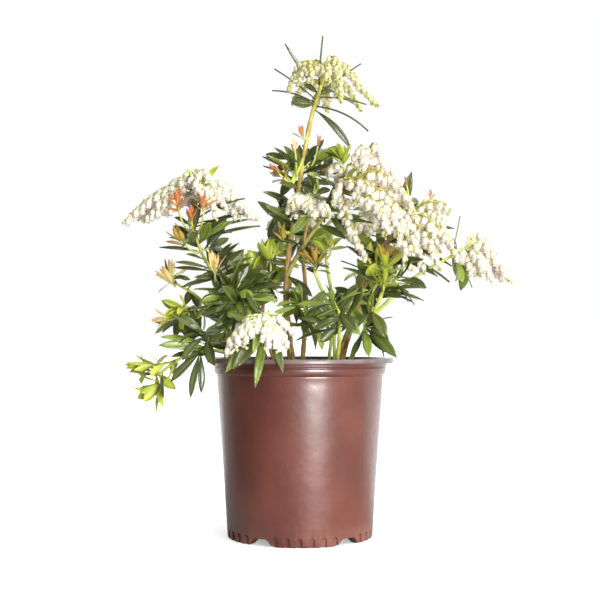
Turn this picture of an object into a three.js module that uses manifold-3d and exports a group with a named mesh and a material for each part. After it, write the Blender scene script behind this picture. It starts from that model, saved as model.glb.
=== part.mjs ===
// A pieris shrub, in flower and in new leaf, growing in a round plastic nursery pot.
// Millimetres, +Z up. The origin is on the pot's axis, at the level the pot stands on,
// and -Y is the shrub's front. Azimuths are in degrees: 0 is the front, 90 is +X.
//
// Each limb is one tapering tube from the growing medium, or from the bark it forks off, to
// its tip. Each mass is one solid: a stem, the twigs that a seeded rule grows from it, and
// the leaves and flower racemes on them. A mass keeps to its own space inside the crown.

import * as THREE from "three";
import { mergeVertices } from "three/addons/utils/BufferGeometryUtils.js";
import Module from "manifold-3d";

const wasm = await Module();
wasm.setup();

// Pot
const POT_HEIGHT = 220;
const LIP_RADIUS = 116;
const COLLAR_RADIUS = 107.5;
const BODY_TOP_RADIUS = 102.5;
const BODY_TOP_HEIGHT = 195;
const BODY_FOOT_RADIUS = 89.4;
const FOOT_HEIGHT = 8;
const WALL = 2.4;
const POT_SIDES = 32;
const FEET = 5;
const FIRST_FOOT = 4; // azimuth of the middle of the front foot
const GAP_TOP = 9; // degrees that the gap between two feet spans at its top
const GAP_FOOT = 21;
const FLUTES = 6; // on each foot
const FLUTE_PITCH = 9.3; // degrees
const FLUTE_WIDTH = 5.4;
const FLUTE_HEIGHT = 12;
const FLUTE_DEPTH = 2.6;

// Growing medium
const MEDIUM_TOP = 200;
const MEDIUM_EDGE = 196;
const MEDIUM_FOOT = FOOT_HEIGHT + WALL + 0.3;

// Plant
const CLEAR = 0.3; // between solids that meet
const FINEST = 0.3; // detail smaller than this is merged away
const MARGIN = 1; // between a leaf and the limb that it passes
const LIMB_SIDES = 5;
const FLARE = 0.7; // how much wider a limb is at its foot
const FLARE_FALL = 26; // how fast that dies away up the limb
const STEM_RADIUS = [2.4, 1.9];
const STRAIGHT_START = 6; // length of a stem's first stretch, which runs on from its limb
const TWIG_RADIUS = 1.3;
const TIP_RADIUS = 1.05;
const TWIG_SPREAD = 0.618; // share of the fan between one twig and the next

// Leaves
const LEAF_LENGTH = 52;
const LEAF_SLENDERNESS = 0.31; // width as a share of length
const LEAF_WIDEST = 0.56; // where it is widest, as a share of its length
const LEAF_FOLD = 1.8; // height of its edges over its midrib
const LEAF_SAG = 0.12;
const TUFT_LENGTH = 25;
const TUFT_SPAN = [1, 0.9];
const TUFT_PITCH = [14, 40];
const STEM_LEAF_SPAN = [0.9, 0.15];
const STEM_LEAF_PITCH = [60, 84];
const GOLDEN_TURN = Math.PI * (3 - Math.sqrt(5));

// Racemes
const RACEME_LENGTH = 66;
const RACEME_RADIUS = 8.4;
const RACEME_TAPER = [1.05, 0.42];
const RACEME_STAGGER = 0.1; // share of the twig between one raceme's root and the next
const RACEME_LIFT = [0.1, 0.35]; // how high its bend is, as a share of its length
const RACEME_BEND = 0.42; // how far out its bend is
const RACEME_STEPS = 4;
const BELL_HANG = 0.5; // how far the bells hang under the stalk, as a share of their radius
const BEAD_WAIST = 0.68; // radius between two rows of bells, as a share of the row's

// How much the seeded draws vary a direction in degrees, or a length as a share
const SCATTER = { turn: 0.12, tilt: 16, twig: 0.3, pitch: 12, leaf: 0.28, raceme: 0.4, row: 0.3 };

// The shares of its length that a leaf or a raceme is tried at
const DRAWN_IN = [1, 0.82, 0.66];

const COLOURS = {
  pot: ["#7a463e", 0.45],
  medium: ["#3a2a20", 0.95],
  bark: ["#8a5f46", 0.8],
  greenStem: ["#a9b84a", 0.6],
  leaf: ["#3c5a2a", 0.45],
  fresh: ["#93ad33", 0.45],
  bronze: ["#c4713f", 0.5],
  blossom: ["#f3eee2", 0.6],
};

// Limbs: the points each one passes through, its radius at foot and tip, and its colour.
// A limb that forks off another names it, and starts inside that one's bark.
const LIMBS = [
  {
    name: "leader",
    through: [[-9, 0, 0], [-17, 0, 287], [-14, 2, 350], [3, 3, 458], [13, 1, 516], [25, -2, 556]],
    radius: [4.3, 2.3],
    colour: "bark",
  },
  {
    name: "right_bough",
    from: "leader",
    through: [[-17, 0, 322], [4, -8, 359], [37, -22, 404]],
    radius: [3.1, 2.2],
    colour: "bark",
  },
  {
    name: "left_stem",
    through: [[-42, -8, 0], [-62, -13, 264], [-98, -20, 313]],
    radius: [3.3, 2.3],
    colour: "greenStem",
  },
  {
    name: "right_stem",
    through: [[54, -6, 0], [76, -11, 246], [95, -16, 284], [103, -18, 306]],
    radius: [3.2, 2.2],
    colour: "greenStem",
  },
  {
    name: "right_back_stem",
    through: [[48, 14, 0], [73, 24, 287], [88, 30, 340]],
    radius: [3.4, 2.4],
    colour: "bark",
  },
  {
    name: "far_right_bough",
    from: "right_stem",
    through: [[90, -15, 272], [140, -2, 318], [184, -8, 344]],
    radius: [2.4, 1.8],
    colour: "greenStem",
  },
  {
    name: "centre_left_shoot",
    through: [[34, -8, 0], [39, -12, 268], [22, -14, 316]],
    radius: [2.3, 1.8],
    colour: "greenStem",
  },
  {
    name: "centre_right_shoot",
    through: [[43, 6, 0], [42, 8, 280], [34, 10, 334]],
    radius: [2.3, 1.8],
    colour: "greenStem",
  },
  {
    name: "left_mid_stem",
    through: [[-28, 12, 0], [-46, 20, 264], [-46, 24, 300]],
    radius: [2.8, 2],
    colour: "bark",
  },
  {
    name: "left_outer_stem",
    through: [[-58, 6, 0], [-90, 2, 256], [-128, -4, 296], [-152, -6, 311]],
    radius: [2.3, 1.6],
    colour: "greenStem",
  },
  {
    name: "left_low_stem",
    through: [[-52, -24, 0], [-92, -40, 227], [-122, -44, 229]],
    radius: [2.8, 2],
    colour: "greenStem",
  },
  {
    name: "front_stem",
    through: [[-20, -30, 0], [-34, -58, 250], [-40, -76, 266]],
    radius: [2.8, 2],
    colour: "greenStem",
  },
  {
    name: "front_right_stem",
    through: [[42, -34, 0], [47, -50, 238], [47, -58, 258]],
    radius: [2.8, 2],
    colour: "greenStem",
  },
  {
    name: "back_left_stem",
    through: [[-36, 36, 0], [-62, 70, 262], [-76, 90, 300]],
    radius: [3.2, 2.1],
    colour: "bark",
  },
  {
    name: "back_mid_stem",
    through: [[2, 34, 0], [8, 64, 290], [2, 78, 366]],
    radius: [3.4, 2.1],
    colour: "bark",
  },
  {
    name: "back_right_stem",
    through: [[40, 38, 0], [66, 72, 262], [96, 92, 340], [106, 96, 364]],
    radius: [3.4, 2.1],
    colour: "bark",
  },
];

// Masses: the limb each one grows on, by its tip or at a share of its length, the points its
// stem passes, the middle of its space and how far that reaches along X, Y and Z, the azimuth
// and the fan its twigs leave in, and the shoots they end in from the lowest to the highest.
const MASSES = [
  {
    name: "top_spray",
    on: "leader",
    through: [[34, -3, 580]],
    heart: [36, -2, 552],
    reach: [86, 74, 88],
    face: 60,
    fan: 340,
    twig: 8,
    stemLeaves: 0,
    shoots: ["spray"],
    leaf: 62,
    slender: 0.18,
    droop: 0.7,
    raceme: 78,
  },
  {
    name: "crown_left",
    on: "leader",
    at: 0.64,
    through: [[-10, -5, 436], [-4, -5, 462]],
    heart: [-24, -6, 454],
    reach: [49, 55, 55],
    face: -85,
    fan: 200,
    tilt: [15, 70],
    twig: 9,
    stemLeaves: 8,
    shoots: ["leafy", "bronze", "leafy"],
    leaf: 48,
  },
  {
    name: "crown_right",
    on: "leader",
    at: 0.66,
    through: [[13, 2, 442], [19, 2, 466]],
    heart: [32, 0, 458],
    reach: [49, 55, 51],
    face: 95,
    fan: 200,
    tilt: [15, 70],
    twig: 9,
    stemLeaves: 8,
    shoots: ["leafy", "bronze", "leafy"],
    leaf: 48,
  },
  {
    name: "inner_left",
    on: "leader",
    at: 0.45,
    through: [[-24, -8, 380], [-26, -10, 408]],
    heart: [-38, -12, 392],
    reach: [57, 61, 49],
    face: -85,
    fan: 220,
    tilt: [0, 50],
    twig: 12,
    stemLeaves: 5,
    shoots: ["leafy", "flowers", "leafy", "leafy"],
    raceme: 40,
  },
  {
    name: "inner_right",
    on: "right_bough",
    at: 0.5,
    through: [[10, -26, 392], [14, -32, 412]],
    heart: [12, -36, 400],
    reach: [49, 53, 49],
    face: 0,
    fan: 280,
    tilt: [0, 60],
    twig: 12,
    stemLeaves: 3,
    shoots: ["leafy", "flowers", "flowers", "leafy"],
    raceme: 46,
  },
  {
    name: "right_blossom_head",
    on: "right_bough",
    through: [[52, -26, 434], [60, -28, 458]],
    heart: [90, -34, 416],
    reach: [68, 66, 80],
    face: 75,
    fan: 250,
    tilt: [-60, 45],
    twig: 34,
    droop: 0.72,
    shoots: ["leafy", "flowers", "flowers", "flowers", "flowers", "lime"],
    raceme: 76,
  },
  {
    name: "right_outer_blossom",
    on: "right_back_stem",
    through: [[118, 28, 374], [144, 14, 404]],
    heart: [158, 8, 380],
    reach: [58, 68, 68],
    face: 80,
    fan: 280,
    tilt: [-20, 45],
    twig: 20,
    droop: 0.72,
    shoots: ["leafy", "flowers", "flowers", "flowers", "flowers"],
    raceme: 62,
  },
  {
    name: "far_right_spray",
    on: "far_right_bough",
    through: [[208, -10, 356]],
    heart: [224, -10, 336],
    reach: [53, 57, 61],
    face: 80,
    fan: 240,
    tilt: [-30, 30],
    twig: 16,
    droop: 0.65,
    shoots: ["leafy", "flowers", "flowers"],
    raceme: 62,
  },
  {
    name: "right_leafy_mass",
    on: "right_stem",
    through: [[106, -20, 330]],
    heart: [108, -24, 328],
    reach: [61, 59, 49],
    tilt: [0, 60],
    twig: 14,
    shoots: ["leafy", "leafy", "lime", "bronze"],
  },
  {
    name: "right_low_mass",
    on: "right_stem",
    at: 0.62,
    through: [[84, -28, 262], [88, -34, 274]],
    heart: [94, -30, 264],
    reach: [53, 53, 49],
    face: 50,
    fan: 260,
    tilt: [-10, 50],
    twig: 13,
    shoots: ["leafy", "leafy", "leafy"],
  },
  {
    name: "front_right_mass",
    on: "front_right_stem",
    through: [[46, -66, 278]],
    heart: [46, -68, 282],
    reach: [55, 55, 51],
    tilt: [0, 60],
    twig: 13,
    shoots: ["leafy", "leafy", "leafy"],
  },
  {
    name: "left_column",
    on: "left_stem",
    through: [[-121, -24, 350], [-132, -26, 392], [-132, -28, 430]],
    heart: [-138, -28, 392],
    reach: [98, 78, 90],
    tilt: [-5, 50],
    twig: 20,
    stemLeaves: 12,
    droop: 0.55,
    shoots: ["leafy", "leafy", "bronze", "leafy", "bronze", "flowers", "flowers", "bronze", "flowers"],
    raceme: 90,
  },
  {
    name: "left_mid_mass",
    on: "left_stem",
    at: 0.55,
    through: [[-76, -34, 282], [-82, -48, 300]],
    heart: [-84, -52, 292],
    reach: [64, 59, 53],
    face: -30,
    fan: 280,
    tilt: [-10, 60],
    twig: 15,
    shoots: ["leafy", "leafy", "leafy", "leafy"],
  },
  {
    name: "left_mid_fresh",
    on: "left_mid_stem",
    through: [[-38, 24, 340]],
    heart: [-36, 22, 340],
    reach: [49, 51, 51],
    tilt: [0, 65],
    twig: 13,
    stemLeaves: 3,
    shoots: ["leafy", "leafy", "lime", "lime"],
  },
  {
    name: "left_outer_tuft",
    on: "left_outer_stem",
    through: [[-160, -7, 316]],
    heart: [-174, -8, 320],
    reach: [42, 42, 38],
    face: -90,
    fan: 200,
    tilt: [20, 40],
    twig: 8,
    shoots: ["bronze"],
    leaf: 33,
  },
  {
    name: "left_lower_mass",
    on: "left_outer_stem",
    at: 0.62,
    through: [[-126, -10, 270], [-142, -12, 276]],
    heart: [-144, -10, 270],
    reach: [59, 53, 38],
    face: -80,
    fan: 240,
    tilt: [-15, 40],
    twig: 15,
    shoots: ["leafy", "leafy", "bronze"],
  },
  {
    name: "left_rim_mass",
    on: "left_low_stem",
    at: 0.8,
    through: [[-112, -50, 244]],
    heart: [-124, -60, 244],
    reach: [55, 53, 36],
    face: -50,
    fan: 240,
    tilt: [0, 50],
    twig: 12,
    shoots: ["leafy", "leafy"],
  },
  {
    name: "left_hanging_spray",
    on: "left_low_stem",
    through: [[-150, -46, 216], [-172, -46, 200]],
    heart: [-180, -46, 192],
    reach: [53, 53, 53],
    face: -90,
    fan: 200,
    tilt: [-40, 20],
    twig: 16,
    stemLeaves: 4,
    shoots: ["leafy", "lime", "lime"],
    leaf: 38,
  },
  {
    name: "front_blossom_mass",
    on: "front_stem",
    through: [[-46, -96, 270]],
    heart: [-50, -108, 248],
    reach: [61, 57, 64],
    tilt: [-20, 20],
    face: 0,
    fan: 240,
    twig: 14,
    droop: 0.65,
    shoots: ["leafy", "flowers", "flowers", "flowers"],
    raceme: 46,
  },
  {
    name: "centre_low_mass",
    on: "leader",
    at: 0.14,
    through: [[2, -18, 262], [8, -26, 278]],
    heart: [6, -36, 270],
    reach: [49, 47, 49],
    face: 20,
    fan: 280,
    tilt: [-10, 60],
    twig: 12,
    shoots: ["leafy", "leafy", "leafy"],
  },
  {
    name: "centre_left_tuft",
    on: "centre_left_shoot",
    through: [[18, -15, 326]],
    heart: [16, -16, 338],
    reach: [36, 38, 36],
    tilt: [60, 80],
    twig: 8,
    shoots: ["bronze"],
    leaf: 34,
  },
  {
    name: "centre_right_tuft",
    on: "centre_right_shoot",
    through: [[33, 10, 346]],
    heart: [34, 10, 358],
    reach: [36, 38, 36],
    tilt: [60, 80],
    twig: 8,
    shoots: ["lime"],
    leaf: 34,
  },
  {
    name: "back_left_mass",
    on: "back_left_stem",
    through: [[-86, 98, 336]],
    heart: [-88, 98, 330],
    reach: [68, 68, 66],
    tilt: [0, 60],
    twig: 18,
    shoots: ["leafy", "leafy", "lime", "flowers"],
  },
  {
    name: "back_left_low_mass",
    on: "back_left_stem",
    at: 0.5,
    through: [[-84, 70, 262]],
    heart: [-94, 68, 258],
    reach: [64, 64, 42],
    face: -130,
    fan: 260,
    tilt: [-10, 40],
    twig: 18,
    shoots: ["leafy", "leafy", "leafy"],
  },
  {
    name: "back_centre_mass",
    on: "back_mid_stem",
    through: [[0, 84, 404]],
    heart: [0, 84, 402],
    reach: [57, 64, 59],
    tilt: [0, 60],
    twig: 16,
    shoots: ["leafy", "leafy", "flowers", "bronze"],
    raceme: 54,
  },
  {
    name: "back_right_mass",
    on: "back_right_stem",
    through: [[114, 102, 398]],
    heart: [112, 102, 400],
    reach: [70, 68, 66],
    tilt: [-10, 60],
    twig: 18,
    shoots: ["leafy", "leafy", "flowers", "flowers"],
  },
  {
    name: "back_low_mass",
    on: "back_right_stem",
    at: 0.5,
    through: [[78, 92, 286]],
    heart: [78, 94, 288],
    reach: [70, 64, 55],
    face: 150,
    fan: 280,
    tilt: [-10, 50],
    twig: 18,
    shoots: ["leafy", "leafy", "leafy"],
  },
];

const MASS_DEFAULTS = {
  at: 1,
  face: 0,
  fan: 360,
  leaf: LEAF_LENGTH,
  slender: LEAF_SLENDERNESS,
  raceme: RACEME_LENGTH,
  droop: 0.6,
  stemLeaves: 0,
  tilt: [0, 60],
  twig: 22,
};

// What each kind of shoot carries: leaves, racemes, and leaves in its new tuft. It is rooted
// above the lowest share of the stem, and its leaves pitch out from the twig, or the stem.
const SHOOTS = {
  leafy: { leaves: 8 },
  bronze: { leaves: 5, tuft: 4 },
  lime: { leaves: 6, tuft: 3 },
  flowers: { leaves: 3, racemes: 4, lowest: 0.7 },
  spray: { leaves: 10, racemes: 6, onStem: true, span: [0.7, 0.16], pitch: [18, 112] },
};

const SHOOT_DEFAULTS = {
  leaves: 0,
  racemes: 0,
  tuft: 0,
  lowest: 0.25,
  onStem: false,
  span: [0.97, 0.1],
  pitch: [36, 84],
};

const radians = THREE.MathUtils.degToRad;
const point = (xyz) => new THREE.Vector3(...xyz);

// The same draws from the same seed, each from 0 to 1.
function seeded(seed) {
  let state = Math.imul(seed, 2654435761) >>> 0;
  return () => {
    state = (Math.imul(state, 1664525) + 1013904223) >>> 0;
    return state / 4294967296;
  };
}

function mix(a, b, share) {
  return a + (b - a) * share;
}

// A draw of the given width, centred on a value.
function near(value, width, random) {
  return value + width * (random() - 0.5);
}

// The direction at an azimuth and an elevation, both in degrees.
function heading(azimuth, elevation) {
  const a = radians(azimuth);
  const e = radians(elevation);
  return new THREE.Vector3(Math.cos(e) * Math.sin(a), -Math.cos(e) * Math.cos(a), Math.sin(e));
}

// Two unit vectors square to an axis and to each other.
function across(axis) {
  const steep = Math.abs(axis.z) > 0.95;
  const u = new THREE.Vector3(steep ? 1 : 0, 0, steep ? 0 : 1).cross(axis).normalize();
  const v = new THREE.Vector3().crossVectors(axis, u);
  return [u, v];
}

function toSolid(geometry) {
  geometry.deleteAttribute("normal");
  geometry.deleteAttribute("uv");
  const merged = mergeVertices(geometry, 1e-3);
  return new wasm.Manifold(
    new wasm.Mesh({
      numProp: 3,
      vertProperties: new Float32Array(merged.attributes.position.array),
      triVerts: new Uint32Array(merged.index.array),
    }),
  );
}

function toGeometry(solid) {
  const { vertProperties, triVerts } = solid.getMesh();
  const geometry = new THREE.BufferGeometry();
  geometry.setAttribute("position", new THREE.BufferAttribute(vertProperties, 3));
  geometry.setIndex(new THREE.BufferAttribute(triVerts, 1));
  geometry.computeVertexNormals();
  return geometry;
}

// A closed tapering tube: a cylinder whose rings are carried onto a curve.
function sweep(curve, radiusAt, sides, steps, sag = 0) {
  const rings = [];
  let [side] = across(curve.getTangent(0));
  for (let i = 0; i <= steps; i++) {
    const tangent = curve.getTangent(i / steps);
    side = side.clone().addScaledVector(tangent, -side.dot(tangent)).normalize();
    const radius = radiusAt(i / steps, i);
    const middle = curve.getPoint(i / steps);
    middle.z -= i > 0 ? radius * sag : 0;
    rings.push({ middle, side, other: side.clone().cross(tangent), radius });
  }
  const tube = new THREE.CylinderGeometry(1, 1, 1, sides, steps);
  const position = tube.getAttribute("position");
  for (let i = 0; i < position.count; i++) {
    const ring = rings[Math.round((position.getY(i) + 0.5) * steps)];
    const moved = ring.middle
      .clone()
      .addScaledVector(ring.side, position.getX(i) * ring.radius)
      .addScaledVector(ring.other, position.getZ(i) * ring.radius);
    position.setXYZ(i, moved.x, moved.y, moved.z);
  }
  return toSolid(tube);
}

// --- Pot -------------------------------------------------------------------------------

function latheSolid(profile, sides) {
  const points = profile.map(([radius, height]) => new THREE.Vector2(radius, height));
  const shape = new THREE.LatheGeometry(points, sides);
  shape.rotateX(Math.PI / 2);
  return toSolid(shape);
}

// One gap between two feet: a wedge that is wider at the ground.
function gapCutter(azimuth) {
  const outer = LIP_RADIUS;
  const topHalf = outer * Math.tan(radians(GAP_TOP / 2));
  const footHalf = outer * Math.tan(radians(GAP_FOOT / 2));
  const wedge = new THREE.Shape([
    new THREE.Vector2(-footHalf, -1),
    new THREE.Vector2(footHalf, -1),
    new THREE.Vector2(topHalf, FOOT_HEIGHT),
    new THREE.Vector2(-topHalf, FOOT_HEIGHT),
  ]);
  const inner = BODY_FOOT_RADIUS - 18;
  const cutter = new THREE.ExtrudeGeometry(wedge, { depth: outer - inner, bevelEnabled: false });
  cutter.rotateX(Math.PI / 2);
  cutter.translate(0, -inner, 0);
  cutter.rotateZ(radians(azimuth));
  return toSolid(cutter);
}

// One upright flute in the outside of a foot, narrowing at its top.
function fluteCutter(azimuth) {
  const half = FLUTE_WIDTH / 2;
  const flute = new THREE.Shape([
    new THREE.Vector2(-half, -1),
    new THREE.Vector2(half, -1),
    new THREE.Vector2(half, FLUTE_HEIGHT - half),
    new THREE.Vector2(half * 0.4, FLUTE_HEIGHT),
    new THREE.Vector2(-half * 0.4, FLUTE_HEIGHT),
    new THREE.Vector2(-half, FLUTE_HEIGHT - half),
  ]);
  const cutter = new THREE.ExtrudeGeometry(flute, { depth: 20, bevelEnabled: false });
  cutter.rotateX(Math.PI / 2);
  cutter.translate(0, -(BODY_FOOT_RADIUS - FLUTE_DEPTH), 0);
  cutter.rotateZ(radians(azimuth));
  return toSolid(cutter);
}

function potSolid() {
  const floor = FOOT_HEIGHT + WALL;
  const profile = [
    [0, 0],
    [17, 0],
    [19, FOOT_HEIGHT],
    [73, FOOT_HEIGHT],
    [77, 0],
    [BODY_FOOT_RADIUS - 0.4, 0],
    [BODY_TOP_RADIUS, BODY_TOP_HEIGHT - 1.5],
    [BODY_TOP_RADIUS + 1.4, BODY_TOP_HEIGHT + 2],
    [COLLAR_RADIUS - 2, BODY_TOP_HEIGHT + 10.5],
    [COLLAR_RADIUS, BODY_TOP_HEIGHT + 12],
    [COLLAR_RADIUS + 0.2, POT_HEIGHT - 4],
    [LIP_RADIUS - 2, POT_HEIGHT - 3.6],
    [LIP_RADIUS - 2, POT_HEIGHT - 6],
    [LIP_RADIUS, POT_HEIGHT - 6],
    [LIP_RADIUS, POT_HEIGHT - 1],
    [LIP_RADIUS - 1, POT_HEIGHT],
    [COLLAR_RADIUS - WALL, POT_HEIGHT],
    [COLLAR_RADIUS - WALL - 0.4, BODY_TOP_HEIGHT + 11],
    [BODY_TOP_RADIUS - WALL, BODY_TOP_HEIGHT],
    [BODY_FOOT_RADIUS - WALL, floor],
    [0, floor],
  ];
  const cutters = [];
  for (let foot = 0; foot < FEET; foot++) {
    const middle = FIRST_FOOT + (foot * 360) / FEET;
    cutters.push(gapCutter(middle + 180 / FEET));
    for (let flute = 0; flute < FLUTES; flute++) {
      cutters.push(fluteCutter(middle + (flute - (FLUTES - 1) / 2) * FLUTE_PITCH));
    }
  }
  return latheSolid(profile, POT_SIDES).subtract(wasm.Manifold.union(cutters)).simplify(0.05);
}

function mediumSolid() {
  const wallSlope = (BODY_TOP_RADIUS - BODY_FOOT_RADIUS) / (BODY_TOP_HEIGHT - 14);
  const radiusAt = (height) => BODY_FOOT_RADIUS - WALL - 1.2 + wallSlope * (height - 14);
  return latheSolid(
    [
      [0, MEDIUM_FOOT],
      [73, MEDIUM_FOOT],
      [radiusAt(24), 24],
      [radiusAt(MEDIUM_EDGE), MEDIUM_EDGE],
      [82, MEDIUM_TOP],
      [0, MEDIUM_TOP],
    ],
    24,
  );
}

// --- Limbs -----------------------------------------------------------------------------

function makeLimb(limb) {
  const points = limb.through.map(point);
  if (!limb.from) points[0].z = MEDIUM_TOP + CLEAR;
  const curve = new THREE.CatmullRomCurve3(points, false, "catmullrom", 0.5);
  const [foot, tip] = limb.radius;
  const flare = (t) => (limb.from ? 0 : FLARE * foot * Math.exp(-t * FLARE_FALL));
  const radiusAt = (t) => mix(foot, tip, t) + flare(t);
  return { ...limb, curve, radiusAt };
}

function limbSteps(limb) {
  return limb.through.length * 2;
}

// A limb's solid, its foot levelled on the medium or cut back from the bark it forks off.
function limbSolid(limb, limbs) {
  const solid = sweep(limb.curve, limb.radiusAt, LIMB_SIDES, limbSteps(limb));
  if (limb.from) return largest(solid.subtract(swollen(limbs.get(limb.from))));
  const [x, y] = limb.through[0];
  const size = 8 * limb.radius[0];
  const ground = new THREE.BoxGeometry(size, size, size);
  ground.translate(x, y, MEDIUM_TOP + CLEAR - size / 2);
  return solid.subtract(toSolid(ground));
}

// A limb with the clearance that whatever meets its bark keeps from it.
function swollen(limb) {
  return sweep(limb.curve, (t) => limb.radiusAt(t) * 1.06 + CLEAR, LIMB_SIDES, limbSteps(limb));
}

// --- Growth ----------------------------------------------------------------------------

// One leaf: where it is rooted, the way it runs and the way its upper face looks.
function leafOn(root, axis, turn, pitch, length, width) {
  const [u, v] = across(axis);
  const out = u.multiplyScalar(Math.cos(turn)).addScaledVector(v, Math.sin(turn));
  const along = axis.clone().multiplyScalar(Math.cos(pitch));
  along.addScaledVector(out, Math.sin(pitch));
  along.z -= LEAF_SAG * Math.sin(pitch);
  along.normalize();
  const up = axis.clone().addScaledVector(along, -axis.dot(along)).normalize();
  return { root, along, up, length, width };
}

// Leaves in a spiral down a curve from one share of it to another, flatter as they go.
function whorl(curve, count, length, slender, [from, to], [steep, flat], random) {
  const leaves = [];
  const start = random() * Math.PI * 2;
  for (let k = 0; k < count; k++) {
    const low = count > 1 ? k / (count - 1) : 0;
    const t = mix(from, to, low);
    const pitch = radians(near(mix(steep, flat, low), SCATTER.pitch, random));
    const size = length * near(1, SCATTER.leaf, random);
    const turn = start + k * GOLDEN_TURN;
    const axis = curve.getTangent(t);
    leaves.push(leafOn(curve.getPoint(t), axis, turn, pitch, size, size * slender));
  }
  return leaves;
}

// Flower racemes that leave a shoot's tip outwards and droop.
function hangRacemes(twig, count, length, mass, random) {
  const made = [];
  const start = random();
  for (let k = 0; k < count; k++) {
    const root = twig.getPoint(1 - RACEME_STAGGER * k);
    const turn = (start + (k + SCATTER.row * random()) / count) % 1;
    const size = length * near(1, SCATTER.raceme, random);
    const lift = mix(...RACEME_LIFT, random());
    const out = heading(mass.face + mass.fan * (turn - 0.5), 0);
    const bend = root.clone().addScaledVector(out, size * RACEME_BEND);
    bend.z += size * lift;
    const end = root.clone().addScaledVector(out, size * (1 - 0.45 * mass.droop));
    end.z -= size * (mass.droop - lift);
    made.push(bezier(root, bend, end));
  }
  return made;
}

// Grows a mass by its rule: the stem, its twigs, and what they carry, before any is skipped.
function growMass(settings, seed, limbs) {
  const mass = { ...MASS_DEFAULTS, ...settings };
  const random = seeded(seed);
  const limb = limbs.get(mass.on);
  const points = [limb.curve.getPoint(mass.at), ...mass.through.map(point)];
  if (mass.at === 1) {
    const onward = limb.curve.getTangent(1);
    points[0].addScaledVector(onward, CLEAR);
    points.splice(1, 0, points[0].clone().addScaledVector(onward, STRAIGHT_START));
  }
  const stem = {
    curve: new THREE.CatmullRomCurve3(points),
    radius: [Math.min(limb.radius[1], STEM_RADIUS[0]), STEM_RADIUS[1]],
    steps: points.length,
  };
  const twigs = mass.shoots.map((name, i) => {
    const kind = { ...SHOOT_DEFAULTS, ...SHOOTS[name] };
    const rise = mass.shoots.length > 1 ? i / (mass.shoots.length - 1) : 1;
    return growTwig(mass, kind, stem.curve, i, rise, random);
  });
  const { stemLeaves: count, leaf, slender } = mass;
  const leaves = whorl(stem.curve, count, leaf, slender, STEM_LEAF_SPAN, STEM_LEAF_PITCH, random);
  return {
    ...mass,
    heart: point(mass.heart),
    reach: point(mass.reach),
    stem,
    twigs,
    stemLeaves: leaves,
  };
}

// One twig, at its turn round the stem and its rise up it, with what its kind of shoot carries.
function growTwig(mass, kind, stem, order, rise, random) {
  const turn = near(order * TWIG_SPREAD + SCATTER.turn / 2, SCATTER.turn, random) % 1;
  const azimuth = mass.face + mass.fan * (turn - 0.5);
  const elevation = near(mix(...mass.tilt, rise), SCATTER.tilt, random);
  const length = mass.twig * near(1, SCATTER.twig, random);
  const root = stem.getPoint(mix(kind.lowest, 0.97, rise));
  const tip = root.clone().addScaledVector(heading(azimuth, elevation), length);
  const curve = new THREE.LineCurve3(root, tip);
  const host = kind.onStem ? stem : curve;
  const { leaf, slender, raceme } = mass;
  const leaves = whorl(host, kind.leaves, leaf, slender, kind.span, kind.pitch, random);
  const tuft = whorl(curve, kind.tuft, TUFT_LENGTH, slender, TUFT_SPAN, TUFT_PITCH, random);
  const racemes = hangRacemes(curve, kind.racemes, raceme, mass, random);
  return { curve, radius: [TWIG_RADIUS, TIP_RADIUS], leaves, tuft, racemes };
}

// --- Keeping each mass to its own space ------------------------------------------------

// How far out a point lies in a mass's space: 0 at its heart, 1 at its reach.
function depthIn(mass, p) {
  return p.clone().sub(mass.heart).divide(mass.reach).length();
}

function isOwn(mass, masses, p) {
  const depth = depthIn(mass, p);
  if (depth > 1) return false;
  return masses.every((other) => other === mass || depthIn(other, p) > depth + 0.03);
}

function isInPot(p) {
  return p.z < POT_HEIGHT + MARGIN && Math.hypot(p.x, p.y) < LIP_RADIUS + MARGIN;
}

// The nearest that a curve's middle line comes to a point, less its radius there.
function gapTo(limb, p) {
  let least = Infinity;
  for (let i = 0; i < limb.line.length - 1; i++) {
    const near = new THREE.Line3(limb.line[i], limb.line[i + 1]);
    const q = near.closestPointToPoint(p, true, new THREE.Vector3());
    least = Math.min(least, q.distanceTo(p));
  }
  return least - limb.thickest;
}

function withLine(curve, thickest) {
  return { line: curve.getPoints(14), thickest };
}

function fits(points, mass, masses, obstacles) {
  return points.every(
    (p) =>
      isOwn(mass, masses, p) &&
      !isInPot(p) &&
      obstacles.every((limb) => gapTo(limb, p) > MARGIN),
  );
}

function leafPoints(leaf) {
  const side = leaf.along.clone().cross(leaf.up);
  const points = [];
  for (let i = 0; i <= 6; i++) {
    const t = (i + 0.5) / 6.5;
    const half = (leaf.width / 2) * (1 - Math.abs(t - 0.55) / 0.55);
    for (const s of [-1, 0, 1]) {
      const p = leaf.root.clone().addScaledVector(leaf.along, leaf.length * t);
      points.push(p.addScaledVector(side, s * half));
    }
  }
  return points;
}

function racemePoints(raceme) {
  const points = [];
  for (let i = 1; i <= 8; i++) {
    const p = raceme.curve.getPoint(i / 8);
    const r = RACEME_RADIUS * (1.1 - (0.6 * i) / 8);
    for (const [x, y, z] of [[r, 0, 0], [-r, 0, 0], [0, r, 0], [0, -r, 0], [0, 0, r], [0, 0, -r * 1.7]]) {
      points.push(new THREE.Vector3(p.x + x, p.y + y, p.z + z));
    }
  }
  return points;
}

// --- Solids of a mass ------------------------------------------------------------------

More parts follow.
